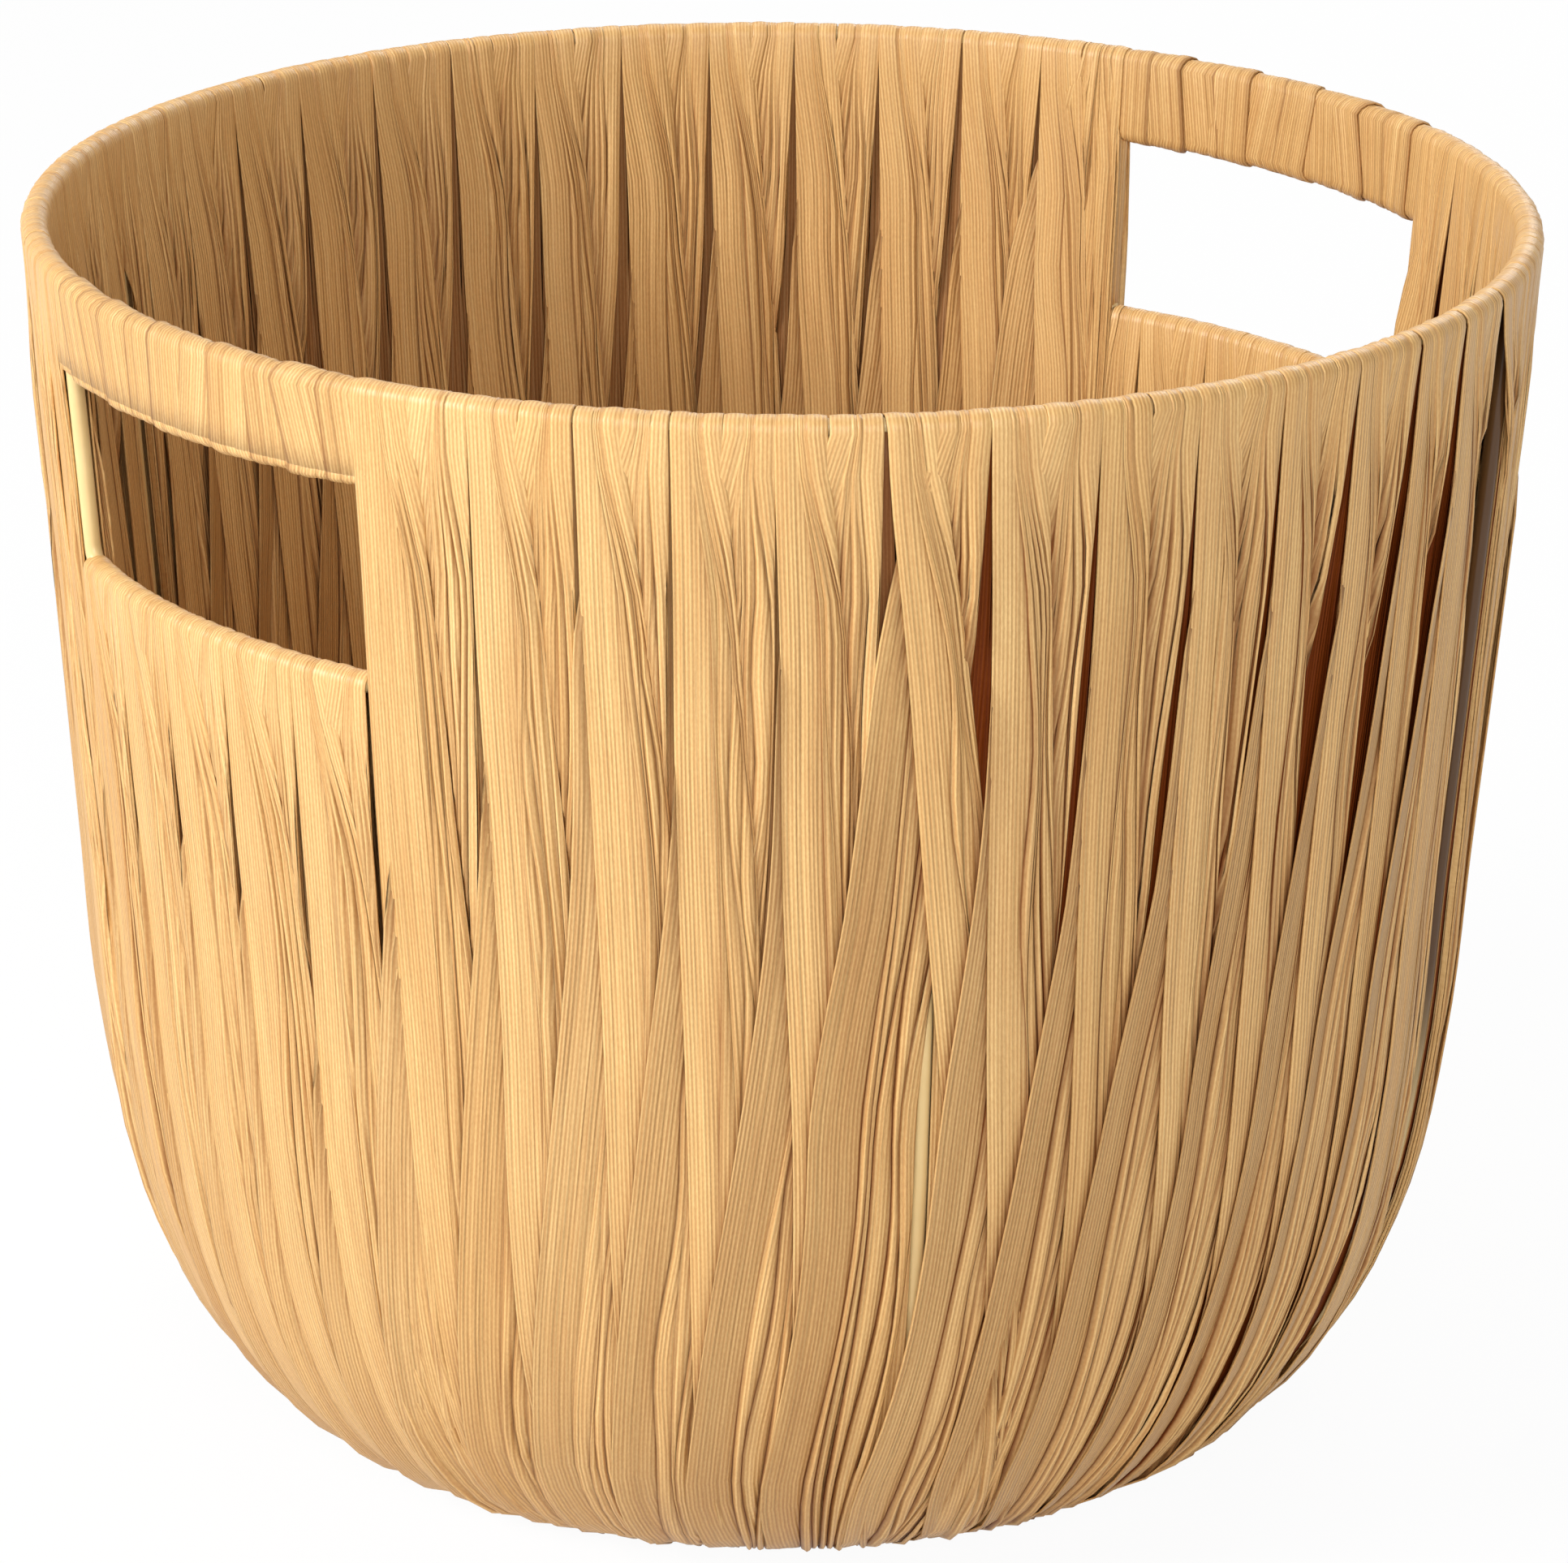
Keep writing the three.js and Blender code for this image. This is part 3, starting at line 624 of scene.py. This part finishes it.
# Below each hand opening the passes go over the lower rail
rail_stations = Stations(float(np.interp(RAIL_HEIGHT, LINE[:, 1], WAY)))
RAIL_PITCHES = 5
RAIL_END = 0.55  # room beside the stile
RAIL_STARTS = {"right": RAIL_END, "left": 0.25}
# How much shade is painted on the deeper ribbon below a hand opening
RAIL_SLIT_PAINTED_SHADE = 0.4
for side, centre in HAND_SIDES:
    pitch = (2 * STILE_ANGLE - RAIL_END - RAIL_STARTS[side]) / RAIL_PITCHES
    plans = []
    for k in range(RAIL_PITCHES):
        apex = centre - STILE_ANGLE + RAIL_STARTS[side] + pitch * k
        for kind in (1, -1):
            plan = plan_pass(rail_stations, kind, apex + (0 if kind > 0 else pitch / 2), pitch / 2,
                             rng.uniform(1, 4), rng.uniform(4, 7), 20.0, 18.5, 110.0 if kind > 0 else SPREAD_DROP)
            plans.append((strips_for("under_handle_ribbon_" + side), plan))
    lay_passes(plans)
    for k, (strips, plan) in enumerate(plans[1:], 1):
        back_slit(strips, rail_stations, 0 if plan["kind"] > 0 else 1, plans[k - 1][1]["parts"][0][-1],
                  plan["parts"][0][0], None, RAIL_SLIT_PAINTED_SHADE)


# Above each hand opening a ribbon is wound round the top ring and the grip rail, some turns slanting
class GripStations:
    """One turn round the two wires, ending where it starts. lean runs from -1 at the grip rail to 1 at the top."""

    def __init__(self):
        top = (*TOP_RING, float(OUT[-1]))
        grip = (radius_at(GRIP_RAIL_HEIGHT), GRIP_RAIL_HEIGHT)
        straight = (0.0, 0.34, 0.66, 1.0)
        bend = np.linspace(0, 180, 7)[1:]
        legs = [(mix(grip[0], top[0], t), mix(grip[1], top[1], t), top[2], 2 * t - 1) for t in straight]
        legs += [(top[0], top[1], top[2] + a, 1 - 2 * a / 180) for a in bend[:-1]]
        legs += [(mix(top[0], grip[0], t), mix(top[1], grip[1], t), top[2] + 180, 2 * t - 1) for t in straight]
        legs += [(grip[0], grip[1], top[2] + 180 + a, 1 - 2 * a / 180) for a in bend]
        self.r, self.z, out, self.lean = np.array(legs).T
        self.phi = np.radians(out)


GRIP_TURNS = 11
GRIP_PLEATS = 4
GRIP_REACH = STILE_ANGLE + 0.4
GRIP_LAP = 0.3  # how far a pleat reaches under the one before it, in degrees
GRIP_SLANT = 2.2
GRIP_UNDER_LIFT, GRIP_OVER_LIFT = 2.2, 2.5  # of the plain turns and of the pleats over them
st = GripStations()
for side, centre in HAND_SIDES:
    strips = strips_for("grip_ribbon_" + side)
    slants = np.convolve(rng.uniform(-GRIP_SLANT, GRIP_SLANT, GRIP_TURNS + 2), [0.3, 0.4, 0.3], "valid")
    slants = slants * (1 if centre else 0.5)
    for turn in range(GRIP_TURNS):
        left, right = (centre - GRIP_REACH + 2 * GRIP_REACH * (turn + t) / GRIP_TURNS for t in (0, 1))
        left, right = np.radians(left + 0 * st.lean), np.radians(right + 0 * st.lean)
        lay(strips, st, left, right, GRIP_UNDER_LIFT, GRIP_UNDER_LIFT, 0.0)
    for turn in range(GRIP_TURNS):
        middle = centre - GRIP_REACH + (2 * GRIP_REACH) * (turn + 0.5) / GRIP_TURNS
        width = math.degrees(rng.uniform(12.5, 15.0) / 176)
        slant = slants[turn] * (0.3 if turn in (0, GRIP_TURNS - 1) else 1)
        cuts = [0, rng.uniform(0.3, 0.45), rng.uniform(0.55, 0.65), rng.uniform(0.75, 0.85), 1.0]
        for j in range(GRIP_PLEATS):
            left = middle - width / 2 + width * cuts[j] + slant * st.lean - (GRIP_LAP if j else 0)
            right = middle - width / 2 + width * cuts[j + 1] + slant * st.lean
            left, right = (np.clip(x, centre - GRIP_REACH, centre + GRIP_REACH) for x in (left, right))
            right = np.maximum(right, left + 0.05)
            lift = GRIP_OVER_LIFT + 0.35 * (turn % 2) + 0.14 * (GRIP_PLEATS - 1 - j) + rng.uniform(-0.08, 0.12)
            tilt = rng.uniform(0.05, 0.26)
            # Shade is painted at each pleat's left edge, most where one turn meets the next
            lay(strips, st, np.radians(left), np.radians(right), lift + tilt, lift - tilt, 0.25,
                rng.uniform(0.0, 0.35) if j else rng.uniform(0.3, 0.65))

# The floor's ribbon, straight across its ring and round it
FLOOR_EDGE = 103.5
FLOOR_STEP = 5.2
FLOOR_LIFT, FLOOR_RISE = 2.5, 0.3
FLOOR_CROWN = 0.12
floor_strips = strips_for("floor_ribbon")


def lay_floor_strip(y0, y1, rank):
    """One turn over and under the floor ring, from y0 to y1 across it. A rank from 0 to 1 raises it."""
    reach = math.sqrt(max(FLOOR_RADIUS**2 - max(abs(y0), abs(y1)) ** 2, 1.0))
    path = [(x, math.pi / 2) for x in np.linspace(-reach, reach, 7)]
    path += [(reach, math.radians(a)) for a in np.linspace(90, -90, 7)[1:-1]]
    path += [(x, -math.pi / 2) for x in np.linspace(reach, -reach, 5)]
    path += [(-reach, math.radians(a)) for a in np.linspace(270, 90, 7)[1:]]
    along, turned = np.array(path).T
    lift = FLOOR_LIFT + FLOOR_RISE * rank
    edge = min(0.9, 0.3 * (y1 - y0))
    corners, across = [], []
    for y, up in ((y0, -PAPER), (y0, -ROUNDED), (y0 + edge, FLOOR_CROWN), (y1 - edge, FLOOR_CROWN), (y1, -ROUNDED),
                  (y1, -PAPER)):
        x, z = along + (lift + up) * np.cos(turned), FLOOR_HEIGHT + (lift + up) * np.sin(turned)
        corners.append(spun(x, np.full(len(path), y), z))
        across.append(np.full(len(path), y - y0))
    floor_strips.add(np.stack(corners[::-1], axis=1), np.stack(across[::-1], axis=-1))


def spun(x, y, z):
    """A place on the floor, turned the way that its bars and ribbon run."""
    c, s = math.cos(math.radians(FLOOR_SPIN)), math.sin(math.radians(FLOOR_SPIN))
    return np.stack([x * c - y * s, x * s + y * c, z], axis=-1)


for k in range(int(2 * FLOOR_EDGE / FLOOR_STEP)):
    y = -FLOOR_EDGE + FLOOR_STEP * k
    lay_floor_strip(y, y + FLOOR_STEP * rng.uniform(1.02, 1.25), (k % 4) / 3 + rng.uniform(-0.1, 0.1))

# Round wires along the frame's own lines
WIRE_SIDES = 14


def tube(points, closed):
    """A round wire through points in millimetres, as vertices and faces."""
    p = np.array(points, float)
    n = len(p)
    along = np.roll(p, -1, 0) - np.roll(p, 1, 0) if closed else np.gradient(p, axis=0)
    along /= np.linalg.norm(along, axis=1)[:, None]
    side = np.cross(along[0], (0, 0, 1) if abs(along[0][2]) < 0.7 else (1, 0, 0))
    spin = np.linspace(0, 2 * math.pi, WIRE_SIDES, endpoint=False)[:, None]
    rings = []
    for i in range(n):
        side = side - along[i] * side.dot(along[i])
        side /= np.linalg.norm(side)
        up = np.cross(along[i], side)
        rings.append(p[i] + WIRE_RADIUS * (np.cos(spin) * side + np.sin(spin) * up))
    faces = []
    for i in range(n if closed else n - 1):
        here, there = i * WIRE_SIDES, (i + 1) % n * WIRE_SIDES
        for j in range(WIRE_SIDES):
            k = (j + 1) % WIRE_SIDES
            faces.append((here + j, here + k, there + k, there + j))
    if not closed:
        faces.append(tuple(range(WIRE_SIDES))[::-1])
        faces.append(tuple((n - 1) * WIRE_SIDES + j for j in range(WIRE_SIDES)))
    return np.vstack(rings), faces


def polar(r, degrees, z):
    a = math.radians(degrees)
    return (r * math.cos(a), r * math.sin(a), z)


def circle(radius, height, count=120):
    return [polar(radius, 360 * k / count, height) for k in range(count)]


# The heights and places that the wires go through
TOP_WIRE_HEIGHT = 297.0
UPRIGHT_TOP = 294.6
FRAME_TOP = 292.5
STILE_BEND = 6.0
WALL_FOOT = 40
LOW_HEIGHTS = (32, 26, 21, 17)
KNEE = [(124.5, 11.2), (121.5, 9.0), (118.0, 7.7), (114.0, FLOOR_HEIGHT), (109.4, FLOOR_HEIGHT)]
BAR_SPACING = 46.0
BAR_GAP = 0.3


def upright_points(angle, top):
    """Down the wall, through a rounded knee and along the foot to the floor ring."""
    heights = [top - k * (top - WALL_FOOT) / 16 for k in range(17)] + list(LOW_HEIGHTS)
    return [polar(r, angle, z) for r, z in [(radius_at(h), h) for h in heights] + KNEE]


def frame_points(centre):
    """Down one stile, round its bend, along the lower rail and up the other stile."""
    bend_angle = math.degrees(STILE_BEND / radius_at(RAIL_HEIGHT))
    half = [(h, STILE_ANGLE) for h in np.linspace(FRAME_TOP, RAIL_HEIGHT + STILE_BEND, 8)]
    for k in range(1, 9):
        a = math.pi / 2 * k / 8
        half.append((RAIL_HEIGHT + STILE_BEND * (1 - math.sin(a)), STILE_ANGLE - bend_angle * (1 - math.cos(a))))
    rail = [(RAIL_HEIGHT, (STILE_ANGLE - bend_angle) * (1 - 2 * k / 16)) for k in range(1, 16)]
    other = [(h, -a) for h, a in reversed(half)]
    return [polar(radius_at(h), centre + a, h) for h, a in half + rail + other]


wires = {"top_ring": (circle(TOP_RING[0], TOP_WIRE_HEIGHT), True), "base_ring": (circle(*BASE_RING), True),
         "floor_ring": (circle(FLOOR_RADIUS, FLOOR_HEIGHT), True)}
for side, centre in HAND_SIDES:
    wires["handle_frame_" + side] = (frame_points(centre), False)
    reach = STILE_ANGLE - math.degrees(WELD / 175)
    wires["grip_rail_" + side] = ([polar(radius_at(GRIP_RAIL_HEIGHT), centre + a, GRIP_RAIL_HEIGHT)
                                   for a in np.linspace(-reach, reach, 13)], False)
    wires["short_upright_" + side] = (upright_points(centre, RAIL_HEIGHT - WELD), False)
for corner, angle in (("back_right", 60), ("back_left", 120), ("front_left", 240), ("front_right", 300)):
    wires["upright_" + corner] = (upright_points(angle, UPRIGHT_TOP), False)
for k in range(3):
    x = BAR_SPACING * (k - 1)
    reach = math.sqrt((FLOOR_RADIUS - WIRE_RADIUS) ** 2 - (abs(x) + WIRE_RADIUS) ** 2) - BAR_GAP
    wires["floor_bar_" + str(k + 1)] = ([spun(x, y, FLOOR_HEIGHT) for y in np.linspace(-reach, reach, 5)], False)


# Materials
def node_tree(name):
    material = bpy.data.materials.new(name)
    material.use_nodes = True
    material.node_tree.nodes.clear()
    return material, material.node_tree.nodes, material.node_tree.links


def maths(n, l, operation, a, b=None, c=None):
    node = n.new("ShaderNodeMath")
    node.operation = operation
    for socket, value in zip(node.inputs, (a, b, c)):
        if isinstance(value, (int, float)):
            socket.default_value = value
        elif value is not None:
            l.new(value, socket)
    return node.outputs[0]


def colour_mix(n, l, kind, factor, a, b):
    node = n.new("ShaderNodeMix")
    node.data_type, node.blend_type = "RGBA", kind
    for socket, value in ((node.inputs[0], factor), (node.inputs[6], a), (node.inputs[7], b)):
        if isinstance(value, (int, float)):
            socket.default_value = value
        elif isinstance(value, tuple):
            socket.default_value = (*value, 1)
        else:
            l.new(value, socket)
    return node.outputs[2]


def uv_of(n, l, layer):
    uv = n.new("ShaderNodeUVMap")
    uv.uv_map = layer
    split = n.new("ShaderNodeSeparateXYZ")
    l.new(uv.outputs[0], split.inputs[0])
    return split.outputs[0], split.outputs[1]


def finished(material, n, l, shader, output="ShaderNodeOutputMaterial"):
    out = n.new(output)
    l.new(shader.outputs[0], out.inputs[0])
    return material


def srgb(r, g, b):
    return tuple((c / 255 / 12.92) if c / 255 <= 0.04045 else ((c / 255 + 0.055) / 1.055) ** 2.4 for c in (r, g, b))


CORD = 0.0009  # in metres, the width of one cord
WHITE = srgb(255, 255, 255)


def ribbon_material():
    """Paper ribbon: fine parallel cords along each strip, streaks, small pleats and a tint of its own. Shade is painted
    on it in the folds between pleats, beside passes that lie over it and on the deeper ribbon in openings, and it is
    smoother where it is drawn tight."""
    material, n, l = node_tree("paper_ribbon")
    u, v = uv_of(n, l, "strip")
    cord = maths(n, l, "SINE", maths(n, l, "MULTIPLY", u, 2 * math.pi / CORD))
    cord = maths(n, l, "MULTIPLY_ADD", cord, 0.5, 0.5)
    own = maths(n, l, "FLOOR", maths(n, l, "ADD", v, 0.3))
    tint = n.new("ShaderNodeTexWhiteNoise")
    tint.noise_dimensions = "1D"
    l.new(own, tint.inputs["W"])

    def streak(across_scale, along_scale, detail):
        at = n.new("ShaderNodeCombineXYZ")
        l.new(maths(n, l, "MULTIPLY", u, across_scale), at.inputs[0])
        l.new(maths(n, l, "MULTIPLY", v, along_scale), at.inputs[1])
        l.new(maths(n, l, "MULTIPLY", own, 3.7), at.inputs[2])
        noise = n.new("ShaderNodeTexNoise")
        noise.inputs["Scale"].default_value = 1.0
        noise.inputs["Detail"].default_value = detail
        noise.inputs["Roughness"].default_value = 0.6
        l.new(at.outputs[0], noise.inputs["Vector"])
        return noise.outputs[0]

    def dimmed(colour, amount, factor, tone):
        return colour_mix(n, l, "MULTIPLY", amount, colour, colour_mix(n, l, "MIX", factor, tone, WHITE))

    pleat, fine, fibre, soft = streak(420, 9, 2), streak(2300, 30, 3), streak(3000, 900, 2), streak(120, 14, 2)
    light, base, deep, painted_shade = srgb(253, 221, 158), srgb(240, 203, 137), srgb(208, 160, 98), srgb(128, 76, 42)
    colour = colour_mix(n, l, "MIX", maths(n, l, "MULTIPLY", tint.outputs["Value"], 0.5), base, light)
    colour = colour_mix(n, l, "MIX", maths(n, l, "MULTIPLY_ADD", fine, 1.3, -0.45), colour, deep)
    colour = dimmed(colour, 0.55, cord, srgb(196, 162, 126))
    colour = dimmed(colour, 0.35, maths(n, l, "MULTIPLY_ADD", fibre, 2.2, -0.6), srgb(205, 170, 130))
    colour = dimmed(colour, 0.3, maths(n, l, "MULTIPLY_ADD", soft, 2.0, -0.5), srgb(216, 180, 140))
    # Painted shade: the second UV layer darkens the colour towards the painted shade colour, and lowers the specular
    # where it lies
    dark, taut = uv_of(n, l, "painted_shade")
    colour = colour_mix(n, l, "MULTIPLY", maths(n, l, "POWER", dark, 1.2), colour, painted_shade)
    height = maths(n, l, "MULTIPLY_ADD", pleat, 6.0, maths(n, l, "MULTIPLY", cord, 0.55))
    height = maths(n, l, "ADD", height, maths(n, l, "MULTIPLY", fine, 0.5))
    bump = n.new("ShaderNodeBump")
    l.new(maths(n, l, "MULTIPLY_ADD", taut, -0.72, 1.0), bump.inputs["Strength"])
    bump.inputs["Distance"].default_value = 0.00022
    l.new(height, bump.inputs["Height"])
    shader = n.new("ShaderNodeBsdfPrincipled")
    l.new(maths(n, l, "MULTIPLY_ADD", taut, -0.1, 0.52), shader.inputs["Roughness"])
    l.new(maths(n, l, "MULTIPLY_ADD", dark, -0.34, 0.42), shader.inputs["Specular IOR Level"])
    l.new(colour, shader.inputs["Base Color"])
    l.new(bump.outputs[0], shader.inputs["Normal"])
    return finished(material, n, l, shader)


PAINTED_SHADE_HEIGHTS = (0.06, 0.13)  # in metres, where the shade painted on a wire deep in its slit begins and where it is full


def wire_material(name, with_painted_shade):
    """Cream coating on steel wire, slightly uneven. Where it lies deep between proud ribbons, shade can be painted on
    its upper part.
    """
    material, n, l = node_tree(name)
    where = n.new("ShaderNodeTexCoord")
    noise = n.new("ShaderNodeTexNoise")
    noise.inputs["Scale"].default_value = 90.0
    noise.inputs["Detail"].default_value = 3.0
    l.new(where.outputs["Object"], noise.inputs["Vector"])
    colour = colour_mix(n, l, "MIX", noise.outputs[0], srgb(234, 206, 148), srgb(220, 188, 128))
    # Painted shade on the upper part of the wire, darker from one height up
    if with_painted_shade:
        split = n.new("ShaderNodeSeparateXYZ")
        l.new(where.outputs["Object"], split.inputs[0])
        high = n.new("ShaderNodeMapRange")
        high.interpolation_type = "SMOOTHSTEP"
        high.inputs["From Min"].default_value, high.inputs["From Max"].default_value = PAINTED_SHADE_HEIGHTS
        l.new(split.outputs[2], high.inputs["Value"])
        colour = colour_mix(n, l, "MULTIPLY", high.outputs[0], colour, srgb(98, 78, 64))
    bump = n.new("ShaderNodeBump")
    bump.inputs["Strength"].default_value = 0.4
    bump.inputs["Distance"].default_value = 0.0001
    l.new(noise.outputs[0], bump.inputs["Height"])
    shader = n.new("ShaderNodeBsdfPrincipled")
    shader.inputs["Specular IOR Level"].default_value = 0.35
    shader.inputs["Coat Weight"].default_value = 0.1
    shader.inputs["Coat Roughness"].default_value = 0.2
    l.new(colour, shader.inputs["Base Color"])
    l.new(maths(n, l, "MULTIPLY_ADD", noise.outputs[0], 0.15, 0.24), shader.inputs["Roughness"])
    l.new(bump.outputs[0], shader.inputs["Normal"])
    return finished(material, n, l, shader)


def add_piece(mesh, name, material, node):
    piece = bpy.data.objects.new(name, mesh)
    bpy.context.scene.collection.objects.link(piece)
    mesh.materials.append(material)
    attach(piece, "root")
    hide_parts(node)


paper, cream, cream_with_painted_shade = ribbon_material(), wire_material("cream_wire", False), wire_material("cream_wire_painted_shade", True)
for node, strips in strips_by_node.items():
    add_piece(strips.mesh(node + "_strips"), node + "_strips", paper, node)
# The front right upright gets the wire with painted shade
for node, (points, closed) in wires.items():
    verts, faces = tube(points, closed)
    mesh = bpy.data.meshes.new(node + "_wire")
    mesh.from_pydata((verts * MM).tolist(), [], faces)
    add_piece(smoothed(mesh), node + "_wire", cream_with_painted_shade if node == "upright_front_right" else cream, node)

# Floor and world, in metres from here on. Both are white to the camera and in reflections, and light the object little.
FLOOR_GREY = 0.86
FLOOR_SEEN = 0.95  # the rest keeps the object's shadow
FLOOR_SIZE, FLOOR_Z = 12.0, -0.0002
SKY_TINT, SKY_STRENGTH = (1, 0.985, 0.96, 1), 0.16


def seen_directly(n, l):
    """1 for rays from the camera, in reflections and through glass."""
    path = n.new("ShaderNodeLightPath")
    return maths(n, l, "MAXIMUM", path.outputs["Is Camera Ray"],
                 maths(n, l, "MAXIMUM", path.outputs["Is Glossy Ray"], path.outputs["Is Transmission Ray"]))


def floor_material():
    material, n, l = node_tree("floor_white")
    diffuse = n.new("ShaderNodeBsdfDiffuse")
    diffuse.inputs[0].default_value = (FLOOR_GREY, FLOOR_GREY, FLOOR_GREY, 1)
    glow = n.new("ShaderNodeEmission")
    glow.inputs[0].default_value = (1, 1, 1, 1)
    blend = n.new("ShaderNodeMixShader")
    l.new(maths(n, l, "MULTIPLY", seen_directly(n, l), FLOOR_SEEN), blend.inputs[0])
    l.new(diffuse.outputs[0], blend.inputs[1])
    l.new(glow.outputs[0], blend.inputs[2])
    return finished(material, n, l, blend)


floor_mesh = bpy.data.meshes.new("floor")
floor_corners = [(x * FLOOR_SIZE, y * FLOOR_SIZE, FLOOR_Z) for x, y in ((-1, -1), (1, -1), (1, 1), (-1, 1))]
floor_mesh.from_pydata(floor_corners, [], [(0, 1, 2, 3)])
floor_mesh.materials.append(floor_material())
floor = bpy.data.objects.new("floor", floor_mesh)
bpy.context.scene.collection.objects.link(floor)

world = bpy.data.worlds.new("studio")
bpy.context.scene.world = world
world.use_nodes = True
n, l = world.node_tree.nodes, world.node_tree.links
n.clear()
seen = seen_directly(n, l)
white, soft = n.new("ShaderNodeBackground"), n.new("ShaderNodeBackground")
soft.inputs[0].default_value = SKY_TINT
soft.inputs[1].default_value = SKY_STRENGTH
blend = n.new("ShaderNodeMixShader")
l.new(seen, blend.inputs[0])
l.new(soft.outputs[0], blend.inputs[1])
l.new(white.outputs[0], blend.inputs[2])
finished(world, n, l, blend, "ShaderNodeOutputWorld")

# The camera as fitted to the photo, in pixels of its 1932 x 1926
IMAGE_WIDTH, IMAGE_MIDDLE = 1932, (966.0, 963.0)
FOCAL = 7212.7
OPTICAL_MIDDLE = (957.56, 975.47)
SENSOR = 36.0
CAMERA_TURN, CAMERA_UP, CAMERA_ROLL = 228.66, 20.83, 0.507  # in degrees
CAMERA_DISTANCE = 1.444854
CAMERA_AIM = 0.14818

LAMP_AIM = 0.15
LAMPS = [("key", -64, 30, 2.2, 0.8, 43.5), ("front", 4, 26, 2.6, 1.4, 34.5), ("top", -150, 70, 2.4, 1.4, 13),
         ("back", 155, 36, 2.6, 1.5, 24)]  # turn from the camera, angle up, distance, width and power


def towards(turn, up):
    a, e = math.radians(turn), math.radians(up)
    return Vector((math.cos(e) * math.cos(a), math.cos(e) * math.sin(a), math.sin(e)))


def set_down(name, data, at, way, roll=0.0):
    thing = bpy.data.objects.new(name, data)
    thing.location = at
    thing.rotation_mode = "QUATERNION"
    thing.rotation_quaternion = way.to_track_quat("-Z", "Y") @ Matrix.Rotation(roll, 4, "Z").to_quaternion()
    bpy.context.scene.collection.objects.link(thing)
    return thing


for name, turn, up, distance, width, power in LAMPS:
    data = bpy.data.lights.new(name, "AREA")
    data.shape, data.size, data.energy = "DISK", width, power
    aim = Vector((0, 0, LAMP_AIM))
    at = aim + towards(CAMERA_TURN + turn, up) * distance
    set_down(name, data, at, aim - at)

data = bpy.data.cameras.new("camera")
data.sensor_width = SENSOR
data.lens = FOCAL / IMAGE_WIDTH * SENSOR
data.shift_x = (IMAGE_MIDDLE[0] - OPTICAL_MIDDLE[0]) / IMAGE_WIDTH
data.shift_y = (OPTICAL_MIDDLE[1] - IMAGE_MIDDLE[1]) / IMAGE_WIDTH
back = towards(CAMERA_TURN, CAMERA_UP)
at = Vector((0, 0, CAMERA_AIM)) + back * CAMERA_DISTANCE
bpy.context.scene.camera = set_down("camera", data, at, -back, math.radians(CAMERA_ROLL))
bpy.context.scene.view_settings.view_transform = "Standard"
